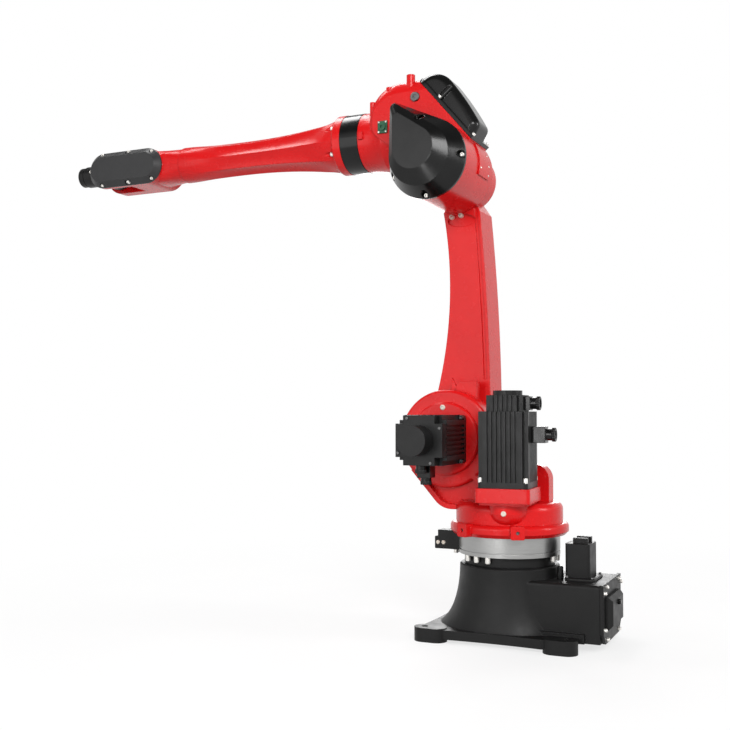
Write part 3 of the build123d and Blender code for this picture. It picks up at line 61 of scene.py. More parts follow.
def camera_frame():
    """The camera's right, up and back directions and its place, from swing, tilt and range."""
    tilt = math.atan(HORIZON_PIXELS / PIXELS_PER_SLOPE)
    right = Vector((-math.cos(CAMERA_SWING), -math.sin(CAMERA_SWING), 0.0))
    level = Vector((math.sin(CAMERA_SWING), -math.cos(CAMERA_SWING), 0.0))
    ahead = math.cos(tilt) * level + Vector((0.0, 0.0, math.sin(tilt)))
    above = right.cross(ahead)
    aside = (AXIS_COLUMN - IMAGE_PIXELS / 2) / PIXELS_PER_SLOPE * CAMERA_RANGE
    place = Vector((0.0, 0.0, CAMERA_HEIGHT)) - CAMERA_RANGE * level - aside * right
    return right, above, -ahead, place


def add_camera():
    """The photograph's camera, with its axes as the columns of its matrix."""
    right, above, back, place = camera_frame()
    data = bpy.data.cameras.new("photo_camera")
    data.lens = LENS_MM
    data.sensor_width = SENSOR_MM
    camera = bpy.data.objects.new("photo_camera", data)
    bpy.context.scene.collection.objects.link(camera)
    turn = Matrix((right, above, back)).transposed().to_4x4()
    camera.matrix_world = Matrix.Translation(place) @ turn
    bpy.context.scene.camera = camera


add_camera()

# Studio
AMBIENT = 0.18
CEILING_START = 0.42
CEILING_END = 0.62
CEILING_GREY = 0.10
ARM_MIDDLE = (0.4, 0.0, 0.9)
ARM_FOOT = (0.2, 0.0, 0.8)
FOREARM_ROOT = (0.8, 0.0, 1.3)
# Each softbox: name, place, target, width and height in metres, watts
SOFTBOXES = (
    ("key_softbox", (-1.9, 3.5, 2.6), ARM_MIDDLE, 2.0, 1.6, 150.0),
    ("front_panel", (2.0, 3.6, 1.3), ARM_MIDDLE, 2.2, 2.4, 28.0),
    ("side_strip", (0.5, 4.6, 1.0), ARM_FOOT, 0.35, 2.6, 34.0),
    ("rear_softbox", (-3.6, -0.5, 1.9), ARM_MIDDLE, 0.6, 1.6, 48.0),
    ("top_softbox", (1.6, -0.5, 3.6), FOREARM_ROOT, 2.4, 0.7, 60.0),
    ("far_softbox", (1.2, -4.0, 1.6), ARM_MIDDLE, 2.0, 1.6, 60.0),
)


def link_nodes(tree, *pairs):
    """Joins each output to its input."""
    for output, target in pairs:
        tree.links.new(output, target)


def where_seen(tree):
    """A factor that is 1 for camera, glossy and transmission rays and 0 for the rest."""
    path = tree.nodes.new("ShaderNodeLightPath")
    seen = tree.nodes.new("ShaderNodeMath")
    seen.operation = "MAXIMUM"
    shown = tree.nodes.new("ShaderNodeMath")
    shown.operation = "MAXIMUM"
    link_nodes(
        tree,
        (path.outputs["Is Camera Ray"], seen.inputs[0]),
        (path.outputs["Is Glossy Ray"], seen.inputs[1]),
        (seen.outputs[0], shown.inputs[0]),
        (path.outputs["Is Transmission Ray"], shown.inputs[1]),
    )
    return shown.outputs[0]


def map_range(tree, source, source_range, target_range):
    """Carries a value from one range to another in a straight line, held at the ends."""
    reach = tree.nodes.new("ShaderNodeMapRange")
    reach.inputs["From Min"].default_value, reach.inputs["From Max"].default_value = source_range
    reach.inputs["To Min"].default_value, reach.inputs["To Max"].default_value = target_range
    tree.links.new(source, reach.inputs["Value"])
    return reach.outputs["Result"]


def add_world():
    """White walls under a dark ceiling where they are seen or mirrored, and an even soft light."""
    world = bpy.data.worlds.new("studio_world")
    bpy.context.scene.world = world
    world.use_nodes = True
    tree = world.node_tree
    tree.nodes.clear()
    heading = tree.nodes.new("ShaderNodeTexCoord")
    split = tree.nodes.new("ShaderNodeSeparateXYZ")
    ceiling_range = (CEILING_START, CEILING_END)
    ceiling = map_range(tree, split.outputs["Z"], ceiling_range, (1.0, CEILING_GREY))
    seen = tree.nodes.new("ShaderNodeBackground")
    seen.inputs["Color"].default_value = WHITE
    lit = tree.nodes.new("ShaderNodeBackground")
    lit.inputs["Color"].default_value = WHITE
    lit.inputs["Strength"].default_value = AMBIENT
    mix = tree.nodes.new("ShaderNodeMixShader")
    out = tree.nodes.new("ShaderNodeOutputWorld")
    link_nodes(
        tree,
        (heading.outputs["Generated"], split.inputs[0]),
        (ceiling, seen.inputs["Strength"]),
        (where_seen(tree), mix.inputs[0]),
        (lit.outputs[0], mix.inputs[1]),
        (seen.outputs[0], mix.inputs[2]),
        (mix.outputs[0], out.inputs[0]),
    )


def add_softbox(name, place, target, width, height, watts):
    """A rectangular lamp at a place, facing a target."""
    data = bpy.data.lights.new(name, "AREA")
    data.shape = "RECTANGLE"
    data.size = width
    data.size_y = height
    data.energy = watts
    lamp = bpy.data.objects.new(name, data)
    bpy.context.scene.collection.objects.link(lamp)
    lamp.location = place
    lamp.rotation_euler = (Vector(target) - Vector(place)).to_track_quat("-Z", "Y").to_euler()


add_world()
for softbox in SOFTBOXES:
    add_softbox(*softbox)

# Finishes
CLOUD_SCALE = 9.0
PAINT_GLOSS_SCALE = 40.0
METAL_GLOSS_SCALE = 25.0
GRAIN_DETAIL = 3.0
PEEL_DETAIL = 2.0
LINE_DETAIL = 4.0
NOISE_MIDDLE = (0.3, 0.7)
DARK_TONE_END = 0.35
LIGHT_TONE_START = 0.65
BEVEL_SAMPLES = 4
EVEN = (1.0, 1.0, 1.0)
TURNED = (1.0, 1.0, 60.0)


def grey(value):
    """A colour with equal shares of red, green and blue."""
    return (value, value, value)


def new_finish(name):
    """An empty material with its shader and output."""
    material = bpy.data.materials.new(name)
    material.use_nodes = True
    tree = material.node_tree
    tree.nodes.clear()
    shader = tree.nodes.new("ShaderNodeBsdfPrincipled")
    out = tree.nodes.new("ShaderNodeOutputMaterial")
    tree.links.new(shader.outputs[0], out.inputs[0])
    return material, tree, shader


def grain(tree, scale, detail=GRAIN_DETAIL, stretch=EVEN):
    """Noise on the object's own coordinates, stretched along its axes."""
    place = tree.nodes.new("ShaderNodeTexCoord")
    mapping = tree.nodes.new("ShaderNodeMapping")
    mapping.inputs["Scale"].default_value = stretch
    noise = tree.nodes.new("ShaderNodeTexNoise")
    noise.inputs["Scale"].default_value = scale
    noise.inputs["Detail"].default_value = detail
    link_nodes(
        tree,
        (place.outputs["Object"], mapping.inputs["Vector"]),
        (mapping.outputs["Vector"], noise.inputs["Vector"]),
    )
    return noise.outputs["Fac"]


def two_tones(tree, source, dark, light):
    """Blends two close colours by a noise."""
    ramp = tree.nodes.new("ShaderNodeValToRGB")
    ramp.color_ramp.elements[0].position = DARK_TONE_END
    ramp.color_ramp.elements[0].color = (*dark, 1.0)
    ramp.color_ramp.elements[1].position = LIGHT_TONE_START
    ramp.color_ramp.elements[1].color = (*light, 1.0)
    tree.links.new(source, ramp.inputs["Fac"])
    return ramp.outputs["Color"]


def rounded_bump(tree, source, depth, edge):
    """A bump of a given depth over a normal that is rounded at the edges."""
    bevel = tree.nodes.new("ShaderNodeBevel")
    bevel.samples = BEVEL_SAMPLES
    bevel.inputs["Radius"].default_value = edge
    bump = tree.nodes.new("ShaderNodeBump")
    bump.inputs["Strength"].default_value = 1.0
    bump.inputs["Distance"].default_value = depth
    link_nodes(
        tree,
        (bevel.outputs[0], bump.inputs["Normal"]),
        (source, bump.inputs["Height"]),
    )
    return bump.outputs["Normal"]


def painted_finish(name, dark, light, rough, peel_scale, peel_depth, edge, gloss):
    """Sprayed paint: two close tones in clouds, uneven gloss, and a fine peel on rounded edges."""
    material, tree, shader = new_finish(name)
    shader.inputs["Specular IOR Level"].default_value = gloss
    colour = two_tones(tree, grain(tree, CLOUD_SCALE), dark, light)
    roughness = map_range(tree, grain(tree, PAINT_GLOSS_SCALE), NOISE_MIDDLE, rough)
    normal = rounded_bump(tree, grain(tree, peel_scale, PEEL_DETAIL), peel_depth, edge)
    link_nodes(
        tree,
        (colour, shader.inputs["Base Color"]),
        (roughness, shader.inputs["Roughness"]),
        (normal, shader.inputs["Normal"]),
    )
    return material


def metal_finish(name, dark, light, rough, stretch, line_scale, line_depth, edge, metal=1.0):
    """Bare or plated metal with fine tool lines: noise drawn out along the axes left uncut."""
    material, tree, shader = new_finish(name)
    shader.inputs["Metallic"].default_value = metal
    lines = grain(tree, line_scale, LINE_DETAIL, stretch)
    roughness = map_range(tree, grain(tree, METAL_GLOSS_SCALE), NOISE_MIDDLE, rough)
    link_nodes(
        tree,
        (two_tones(tree, lines, dark, light), shader.inputs["Base Color"]),
        (roughness, shader.inputs["Roughness"]),
        (rounded_bump(tree, lines, line_depth, edge), shader.inputs["Normal"]),
    )
    return material


red_paint = painted_finish(
    "red_gloss_paint",
    dark=(0.60, 0.006, 0.007),
    light=(0.65, 0.008, 0.009),
    rough=(0.22, 0.29),
    peel_scale=260.0,
    peel_depth=0.000006,
    edge=0.003,
    gloss=0.24,
)
black_casting = painted_finish(
    "black_cast_paint",
    dark=grey(0.006),
    light=grey(0.009),
    rough=(0.40, 0.50),
    peel_scale=900.0,
    peel_depth=0.00004,
    edge=0.003,
    gloss=0.20,
)
dark_anodised = painted_finish(
    "dark_anodised_skin",
    dark=grey(0.006),
    light=grey(0.010),
    rough=(0.30, 0.40),
    peel_scale=1400.0,
    peel_depth=0.000015,
    edge=0.001,
    gloss=0.22,
)
gloss_black = painted_finish(
    "gloss_black_moulding",
    dark=grey(0.004),
    light=grey(0.007),
    rough=(0.16, 0.22),
    peel_scale=300.0,
    peel_depth=0.000004,
    edge=0.003,
    gloss=0.25,
)
grey_plastic = painted_finish(
    "grey_grained_moulding",
    dark=(0.028, 0.028, 0.029),
    light=(0.034, 0.034, 0.035),
    rough=(0.36, 0.46),
    peel_scale=1600.0,
    peel_depth=0.00002,
    edge=0.002,
    gloss=0.24,
)
turned_aluminium = metal_finish(
    "turned_aluminium",
    dark=(0.31, 0.31, 0.305),
    light=(0.36, 0.36, 0.355),
    rough=(0.30, 0.38),
    stretch=TURNED,
    line_scale=30.0,
    line_depth=0.00001,
    edge=0.001,
)
plated_steel = metal_finish(
    "plated_steel",
    dark=(0.70, 0.68, 0.64),
    light=(0.82, 0.80, 0.76),
    rough=(0.26, 0.36),
    stretch=EVEN,
    line_scale=700.0,
    line_depth=0.00002,
    edge=0.0004,
    metal=0.6,
)
dark_steel = metal_finish(
    "blackened_steel",
    dark=grey(0.10),
    light=grey(0.16),
    rough=(0.30, 0.40),
    stretch=EVEN,
    line_scale=700.0,
    line_depth=0.00002,
    edge=0.0004,
)
green_moulding = painted_finish(
    "green_moulding",
    dark=(0.008, 0.07, 0.03),
    light=(0.011, 0.10, 0.045),
    rough=(0.35, 0.45),
    peel_scale=1400.0,
    peel_depth=0.00004,
    edge=0.001,
    gloss=0.40,
)
cream_cap = painted_finish(
    "cream_cap",
    dark=(0.66, 0.60, 0.52),
    light=(0.74, 0.68, 0.60),
    rough=(0.35, 0.45),
    peel_scale=1200.0,
    peel_depth=0.00003,
    edge=0.0006,
    gloss=0.50,
)
SLOT_FINISH = {
    "red_paint": red_paint,
    "black_casting": black_casting,
    "dark_anodised": dark_anodised,
    "bright_aluminium": turned_aluminium,
    "gloss_black": gloss_black,
    "grey_plastic": grey_plastic,
}
NODE_FINISH = {"elbow_socket": green_moulding, "air_fitting": dark_steel, "zero_tab": red_paint}
for subpart in frame["record"]["subparts"]:
    node = frame["nodes"][subpart["node"]]
    finish = NODE_FINISH.get(subpart["node"], SLOT_FINISH[subpart["material_slot"]])
    if node.material_slots:
        node.material_slots[0].material = finish
    else:
        node.data.materials.append(finish)

# Meshes
PIECE_SMOOTH_ANGLE = 40.0
SCREW_SMOOTH_ANGLE = 30.0


def sheet_faces(rows, columns):
    """Corner numbers of the quads of a grid whose columns close on themselves."""
    row = np.arange(rows - 1)[:, None] * columns
    here = np.arange(columns)[None, :]
    beside = (here + 1) % columns
    near, far = row, row + columns
    quads = np.stack([near + here, near + beside, far + beside, far + here], axis=-1)
    return quads.reshape(-1, 4)


def mesh_piece(name, points, faces, finish, smooth_angle=PIECE_SMOOTH_ANGLE):
    """An object at the origin with the given points and faces, smooth up to an angle."""
    mesh = bpy.data.meshes.new(name)
    mesh.from_pydata(points.reshape(-1, 3).tolist(), [], faces)
    mesh.validate()
    mesh.polygons.foreach_set("use_smooth", np.ones(len(mesh.polygons), bool))
    mesh.set_sharp_from_angle(angle=math.radians(smooth_angle))
    mesh.materials.append(finish)
    piece = bpy.data.objects.new(name, mesh)
    bpy.context.scene.collection.objects.link(piece)
    return piece


# Fastener heads: rows of radius, height and share of the outline
SCREW_COLUMNS = 36
PIN_COLUMNS = 12
NUT_COLUMNS = 144
NUT_RIDGES = 24
NUT_RIDGE_DEPTH = 0.05
NEARLY_UPRIGHT = 0.9
SOCKET_ROWS = np.array(
    [
        (1.00, -0.15, 0.0),
        (1.00, 0.78, 0.0),
        (0.97, 0.90, 0.0),
        (0.88, 1.00, 0.0),
        (0.64, 1.00, 0.0),
        (0.58, 0.98, 1.0),
        (0.54, 0.92, 1.0),
        (0.54, 0.40, 1.0),
        (0.16, 0.30, 1.0),
    ]
)
BUTTON_ROWS = np.array(
    [
        (1.00, -0.15, 0.0),
        (1.00, 0.20, 0.0),
        (0.95, 0.50, 0.0),
        (0.82, 0.78, 0.0),
        (0.64, 0.95, 0.0),
        (0.48, 1.00, 0.0),
        (0.44, 0.96, 1.0),
        (0.42, 0.30, 1.0),
        (0.12, 0.22, 1.0),
    ]
)
NUT_ROWS = np.array(
    [
        (0.80, -0.10, 0.0),
        (0.94, -0.10, 0.0),
        (1.00, 0.02, 1.0),
        (1.00, 0.90, 1.0),
        (0.94, 1.00, 0.0),
        (0.70, 1.00, 0.0),
        (0.61, 0.92, 0.0),
        (0.60, 0.80, 0.0),
        (0.60, -0.55, 0.0),
    ]
)
PIN_ROWS = np.array(
    [(1.00, -0.15, 0.0), (1.00, 0.82, 0.0), (0.80, 0.95, 0.0), (0.35, 1.00, 0.0)]
)


def hexagon_outline(columns):
    """Radius of a hexagon by angle: cos 30 over the cosine of the angle from a flat's middle."""
    angle = np.linspace(0.0, 2 * np.pi, columns, endpoint=False)
    return math.cos(math.pi / 6) / np.cos(np.mod(angle, math.pi / 3) - math.pi / 6)


def knurl_outline(columns, ridges, depth):
    """Radius of a knurled grip by angle: one less a share of the cosine's square on the ridges."""
    angle = np.linspace(0.0, 2 * np.pi, columns, endpoint=False)
    return 1.0 - depth * np.cos(ridges * angle / 2) ** 2


SOCKET_HEAD = SOCKET_ROWS, hexagon_outline(SCREW_COLUMNS)
BUTTON_HEAD = BUTTON_ROWS, hexagon_outline(SCREW_COLUMNS)
COUPLING_NUT = NUT_ROWS, knurl_outline(NUT_COLUMNS, NUT_RIDGES, NUT_RIDGE_DEPTH)
CONTACT_PIN = PIN_ROWS, np.ones(PIN_COLUMNS)


def node_surface(node):
    """Search tree over a node's triangles."""
    mesh = frame["nodes"][node].data
    places = np.empty(3 * len(mesh.vertices), np.float32)
    mesh.vertices.foreach_get("co", places)
    corners = np.empty(len(mesh.loops), np.int32)
    mesh.loops.foreach_get("vertex_index", corners)
    return BVHTree.FromPolygons(places.reshape(-1, 3).tolist(), corners.reshape(-1, 3).tolist())


def seats_on(node, starts, heading):
    """Where straight lines from the starts, in millimetres, first meet a node."""
    surface = node_surface(node)
    way = Vector(heading).normalized()
    hits = [surface.ray_cast(Vector(start) * MM, way)[0] for start in starts]
    return np.array([tuple(hit) for hit in hits])


def seat_in_photo(node, column, row):
    """Where the camera's line through a pixel first meets a node, and the normal there."""
    right, above, back, place = camera_frame()
    across = (column - IMAGE_PIXELS / 2) / PIXELS_PER_SLOPE
    upward = (IMAGE_PIXELS / 2 - row) / PIXELS_PER_SLOPE
    sight = across * right + upward * above - back
    hit, normal = node_surface(node).ray_cast(place, sight)[:2]
    return np.array([tuple(hit)]), np.array([tuple(normal)])


def turned_heads(seats, axes, rows, outline, radius, height):
    """Heads: rows of radius and height carried round each axis, each row a share of the outline."""
    angle = np.linspace(0.0, 2 * np.pi, len(outline), endpoint=False)
    reach = rows[:, :1] * (1.0 + rows[:, 2:] * (outline[None, :] - 1.0)) * radius * MM
    lift = rows[:, 1] * height * MM
    axes = np.broadcast_to(np.asarray(axes, float), seats.shape)
    axes = axes / np.linalg.norm(axes, axis=1, keepdims=True)
    upright = np.abs(axes[:, 2:]) > NEARLY_UPRIGHT
    helper = np.where(upright, np.array([FORWARD]), np.array([UP]))
    side = np.cross(helper, axes)
    side = side / np.linalg.norm(side, axis=1, keepdims=True)
    other = np.cross(axes, side)
    round_part = (
        np.cos(angle)[None, None, :, None] * side[:, None, None, :]
        + np.sin(angle)[None, None, :, None] * other[:, None, None, :]
    )
    return (
        seats[:, None, None, :]
        + lift[None, :, None, None] * axes[:, None, None, :]
        + reach[None, :, :, None] * round_part
    )


def screw_piece(name, groups, finish, body):
    """One closed piece from groups of like heads, each head a grid with two end faces."""
    points = []
    faces = []
    first = 0
    for seats, axes, ((rows, outline), radius, height) in groups:
        heads = turned_heads(seats, axes, rows, outline, radius, height)
        count, row_count, columns = heads.shape[:3]
        starts = first + np.arange(count) * row_count * columns
        quads = sheet_faces(row_count, columns)[None] + starts[:, None, None]
        foot_face = np.arange(columns - 1, -1, -1)[None] + starts[:, None]
        inner_face = (row_count - 1) * columns + np.arange(columns)[None] + starts[:, None]
        faces += quads.reshape(-1, 4).tolist() + foot_face.tolist() + inner_face.tolist()
        points.append(heads.reshape(-1, 3))
        first += count * row_count * columns
    piece = mesh_piece(name, np.concatenate(points), faces, finish, SCREW_SMOOTH_ANGLE)
    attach(piece, body)


def ring_of(centre, radius, angles, plane):
    """Points on a circle in millimetres: centre plus radius times cosine and sine on two axes."""
    turn = np.radians(np.asarray(angles, float))[:, None]
    first, second = (np.eye(3)[axis] for axis in plane)
    return np.asarray(centre, float) + radius * (np.cos(turn) * first + np.sin(turn) * second)


# Directions, planes by their two axes, and the arm's places in millimetres
LEFT = (0.0, 1.0, 0.0)
RIGHT = (0.0, -1.0, 0.0)
UP = (0.0, 0.0, 1.0)
DOWN = (0.0, 0.0, -1.0)
FORWARD = (1.0, 0.0, 0.0)
BACKWARD = (-1.0, 0.0, 0.0)
LEVEL_PLANE = (0, 1)
SIDE_PLANE = (0, 2)
CROSS_PLANE = (1, 2)
SHOULDER_X = 165.0
SHOULDER_Z = 524.0
ELBOW_Z = 1265.0
FOREARM_Z = 1375.0
WRIST_X = 1334.0
OUTSIDE = 400.0
NEAR_SIDE = 200.0
SQUARE_ANGLES = np.array([45.0, 135.0, 225.0, 315.0])
CLOCK_ANGLES = np.arange(0.0, 360.0, 30.0)

# Base: the rear panel's edge, and the stop post's foot
PANEL_SCREW = SOCKET_HEAD, 4.6, 7.0
PANEL_CORNERS = ((101.0, 148.0), (101.0, 58.0), (76.0, 160.0), (72.0, 30.0))
panel_places = [(-OUTSIDE, side * y, z) for side in (-1.0, 1.0) for y, z in PANEL_CORNERS]
screw_piece(
    "panel_screws",
    [(seats_on("rear_panel", panel_places, FORWARD), BACKWARD, PANEL_SCREW)],
    plated_steel,
    "base",
)
FOOT_COLUMNS = 96
FOOT_SQUARENESS = 7.0
FOOT_MIDDLE = (-199.0, 0.0)
FOOT_HALF = (41.0, 54.0)
FOOT_ROWS = np.array([(0.0, 165.8), (0.0, 169.0), (0.6, 170.6), (2.0, 172.0), (4.0, 172.6)])
FOOT_TOP = FOOT_ROWS[-1, 1]
FOOT_SCREW = SOCKET_HEAD, 3.8, 4.0
FOOT_SCREW_X = (-231.0, -167.0)
FOOT_SCREW_Y = (-47.0, 47.0)


def foot_plate():
    """A plate with soft corners: rows of inset and height carried round a rounded rectangle.

    Its sides are half sizes times the cosine and sine of an angle, each raised to a small power.
    """
    angle = np.linspace(0.0, 2 * np.pi, FOOT_COLUMNS, endpoint=False)
    power = 2.0 / FOOT_SQUARENESS
    across = np.sign(np.cos(angle)) * np.abs(np.cos(angle)) ** power
    aside = np.sign(np.sin(angle)) * np.abs(np.sin(angle)) ** power
    x = FOOT_MIDDLE[0] + (FOOT_HALF[0] - FOOT_ROWS[:, :1]) * across
    y = FOOT_MIDDLE[1] + (FOOT_HALF[1] - FOOT_ROWS[:, :1]) * aside
    z = np.broadcast_to(FOOT_ROWS[:, 1:], x.shape)
    return np.stack([x, y, z], axis=-1) * MM


foot_rings = np.arange(len(FOOT_ROWS) * FOOT_COLUMNS).reshape(-1, FOOT_COLUMNS)
foot_ends = [foot_rings[0, ::-1].tolist(), foot_rings[-1].tolist()]
post_foot = mesh_piece(
    "post_foot",
    foot_plate(),
    sheet_faces(len(FOOT_ROWS), FOOT_COLUMNS).tolist() + foot_ends,
    black_casting,
)
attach(post_foot, "base")
foot_corners = np.array([(x, y, FOOT_TOP) for x in FOOT_SCREW_X for y in FOOT_SCREW_Y]) * MM
screw_piece("foot_screws", [(foot_corners, UP, FOOT_SCREW)], dark_steel, "base")

# Turret: reducer ring, stop block, both motors with their connectors, and the flange's lugs
RING_BOLT = SOCKET_HEAD, 7.0, 16.0
RING_BOLT_RADIUS = 127.0
RING_START_Z = 200.0
RING_GROUPS = (65.0, 185.0, 305.0)
RING_STEPS = (-16.0, 0.0, 16.0)
STOP_BOLT = SOCKET_HEAD, 6.5, 10.0
STOP_BOLT_STARTS = [(148.0, -10.0, 150.0), (148.0, 10.0, 150.0)]
STOP_PLUG = BUTTON_HEAD, 5.5, 3.0
STOP_PLUG_STARTS = [(197.0, 80.0, 240.0), (181.0, 80.0, 240.0)]
TURN_MOTOR_BOLT = SOCKET_HEAD, 5.8, 11.0
TURN_MOTOR_DEGREES = 3.5
TURN_MOTOR_START_Z = 500.0
SHOULDER_MOTOR_BOLT = SOCKET_HEAD, 5.8, 9.0
MOTOR_CORNER_REACH = 58.5 * math.sqrt(2.0)
CAP_SCREW = SOCKET_HEAD, 3.6, 3.0
CAP_SCREW_RADIUS = 65.4
CAP_SCREW_ANGLES = [60.7, 150.7, 240.7, 330.7]
# Blackened set-screw heads sunk in the flange lugs' holes: painted shade that darkens the holes
LUG_SHADE_SCREW = SOCKET_HEAD, 4.4, 6.0
LUG_RADIUS = 160.0
LUG_Z = 291.0
LUG_ANGLES = [61.0, 114.0]
POWER_PLUG_REACH = 116.0
POWER_PLUG_Z = 539.0
POWER_PIN = CONTACT_PIN, 1.3, 7.0
POWER_PIN_RADIUS = 6.4
POWER_PINS = 6
SIGNAL_PLUG_REACH = 77.0
SIGNAL_PLUG_Z = 619.0
SIGNAL_PIN = CONTACT_PIN, 0.9, 7.0
SIGNAL_PIN_RADIUS = 6.8
SIGNAL_PINS = 9
INSERT_DEPTH = 4.6
TURN_MOTOR_NUT = COUPLING_NUT, 17.8, 8.6
SHOULDER_MOTOR_NUT = COUPLING_NUT, 14.8, 9.0
SHOULDER_NUT_PLACES = np.array([(165.0, 188.0, 418.0), (165.0, 225.0, 449.0)])
DISC_PLUG = BUTTON_HEAD, 7.5, 3.5
DISC_PLUG_START = [(167.0, 150.0, 609.0)]
BELL_PLUG = BUTTON_HEAD, 7.0, 3.5
BELL_PLUG_PIXEL = (503.5, 514.0)

ring_angles = [group + step for group in RING_GROUPS for step in RING_STEPS]
ring_places = ring_of((0.0, 0.0, RING_START_Z), RING_BOLT_RADIUS, ring_angles, LEVEL_PLANE)
motor_low, motor_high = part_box("turn_motor_body")
motor_axis = (motor_low + motor_high) / (2 * MM)
turn_motor_corners = ring_of(
    (motor_axis.x, motor_axis.y, TURN_MOTOR_START_Z),
    MOTOR_CORNER_REACH,
    SQUARE_ANGLES + TURN_MOTOR_DEGREES,
    LEVEL_PLANE,
)
shoulder_motor_corners = ring_of(
    (SHOULDER_X, NEAR_SIDE, SHOULDER_Z), MOTOR_CORNER_REACH, SQUARE_ANGLES, SIDE_PLANE
)
cap_places = ring_of(
    (SHOULDER_X, OUTSIDE, SHOULDER_Z), CAP_SCREW_RADIUS, CAP_SCREW_ANGLES, SIDE_PLANE
)
lug_places = ring_of((0.0, 0.0, LUG_Z), LUG_RADIUS, LUG_ANGLES, LEVEL_PLANE) * MM
lug_axes = ring_of((0.0, 0.0, 0.0), 1.0, LUG_ANGLES, LEVEL_PLANE)
motor_turn = math.radians(TURN_MOTOR_DEGREES)
plug_away = np.array([-math.cos(motor_turn), -math.sin(motor_turn), 0.0])
plug_aside = np.array([math.sin(motor_turn), -math.cos(motor_turn), 0.0])
power_plug = np.array([motor_axis.x, motor_axis.y, POWER_PLUG_Z]) + POWER_PLUG_REACH * plug_away
signal_plug = np.array([motor_axis.x, motor_axis.y, SIGNAL_PLUG_Z]) + SIGNAL_PLUG_REACH * plug_away


def pin_places(plug, radius, count):
    """Points on a circle on a plug's insert: radius times cosine and sine, aside and upward."""
    turn = np.linspace(0.0, 2 * np.pi, count, endpoint=False)[:, None]
    ring = radius * (np.cos(turn) * plug_aside + np.sin(turn) * np.array(UP))
    return (plug - INSERT_DEPTH * plug_away + ring) * MM


screw_piece(
    "turret_screws",
    [
        (seats_on("reducer_ring", ring_places, UP), DOWN, RING_BOLT),
        (seats_on("stop_block", STOP_BOLT_STARTS, UP), DOWN, STOP_BOLT),
        (seats_on("turn_motor_body", turn_motor_corners, DOWN), UP, TURN_MOTOR_BOLT),
        (pin_places(power_plug, POWER_PIN_RADIUS, POWER_PINS), plug_away, POWER_PIN),
        (pin_places(signal_plug, SIGNAL_PIN_RADIUS, SIGNAL_PINS), plug_away, SIGNAL_PIN),
    ],
    plated_steel,
    "turret",
)
screw_piece(
    "motor_screws_and_lug_shade",
    [
        (seats_on("shoulder_motor_body", shoulder_motor_corners, RIGHT), LEFT, SHOULDER_MOTOR_BOLT),
        (seats_on("shoulder_motor_cap", cap_places, RIGHT), LEFT, CAP_SCREW),
        # Dark heads in the lug holes, painted shade for the holes
        (lug_places, lug_axes, LUG_SHADE_SCREW),
    ],
    dark_steel,
    "turret",
)
screw_piece(
    "coupling_nuts",
    [
        (np.stack([power_plug, signal_plug]) * MM, plug_away, TURN_MOTOR_NUT),
        (SHOULDER_NUT_PLACES * MM, DOWN, SHOULDER_MOTOR_NUT),
    ],
    dark_anodised,
    "turret",
)
bell_seat, bell_normal = seat_in_photo("turret_casting", *BELL_PLUG_PIXEL)
screw_piece(
    "turret_plugs",
    [
        (seats_on("turret_casting", DISC_PLUG_START, RIGHT), LEFT, DISC_PLUG),
        (bell_seat, bell_normal, BELL_PLUG),
        (seats_on("stop_block", STOP_PLUG_STARTS, RIGHT), LEFT, STOP_PLUG),
    ],
    cream_cap,
    "turret",
)

# Upper arm: two screws in the oval recess, and a bolt circle round each axis on the far face
RECESS_SCREW = BUTTON_HEAD, 7.5, 14.0
RECESS_STARTS = [(180.0, 0.0, 1150.0), (153.0, 0.0, 1153.0)]
SHOULDER_BOLT = SOCKET_HEAD, 7.0, 8.0
SHOULDER_BOLT_RADIUS = 84.0
ELBOW_BOLT = SOCKET_HEAD, 6.0, 7.0
ELBOW_BOLT_RADIUS = 60.0
screw_piece(
    "arm_screws",
    [(seats_on("upper_arm", RECESS_STARTS, RIGHT), LEFT, RECESS_SCREW)],
    cream_cap,
    "upper_arm",
)
shoulder_ring = ring_of(
    (SHOULDER_X, -OUTSIDE, SHOULDER_Z), SHOULDER_BOLT_RADIUS, CLOCK_ANGLES, SIDE_PLANE
)
elbow_ring = ring_of((SHOULDER_X, -OUTSIDE, ELBOW_Z), ELBOW_BOLT_RADIUS, CLOCK_ANGLES, SIDE_PLANE)
screw_piece(
    "arm_bolts",
    [
        (seats_on("upper_arm", shoulder_ring, LEFT), RIGHT, SHOULDER_BOLT),
        (seats_on("upper_arm", elbow_ring, LEFT), RIGHT, ELBOW_BOLT),
    ],
    plated_steel,
    "upper_arm",
)

# Elbow: motor cover, rear cover on its slope, connector, bracket plate and air fitting
COVER_RADIUS = 100.0
COVER_SCREW = SOCKET_HEAD, 5.5, 7.0
COVER_ANGLES = [181.0, 270.0, 334.0]
COVER_TOP_SCREW = SOCKET_HEAD, 5.5, 16.0
COVER_TOP_ANGLES = [87.0]
SLOPE = math.radians(50.0)
SLOPE_FOOT = np.array([72.0, 0.0, 1328.0])
LIP_SCREW = SOCKET_HEAD, 4.8, 6.0
LIP_START = 120.0
LIP_CORNERS = ((157.0, 82.0), (157.0, -29.0), (6.0, 84.0), (6.0, -31.0))
CONNECTOR_SCREW = BUTTON_HEAD, 2.8, 1.8
CONNECTOR_ACROSS = (-10.8, 10.8)
CONNECTOR_UPWARD = (-13.6, 13.6)
BRACKET_SCREW = BUTTON_HEAD, 2.6, 2.0
BRACKET_START_X = -50.0
BRACKET_CORNERS = ((-3.0, 1300.0), (-3.0, 1270.0), (-3.0, 1245.0), (63.0, 1254.0))
FITTING_INSERT = SOCKET_HEAD, 5.7, 4.0
FITTING_DEPTH = 4.5

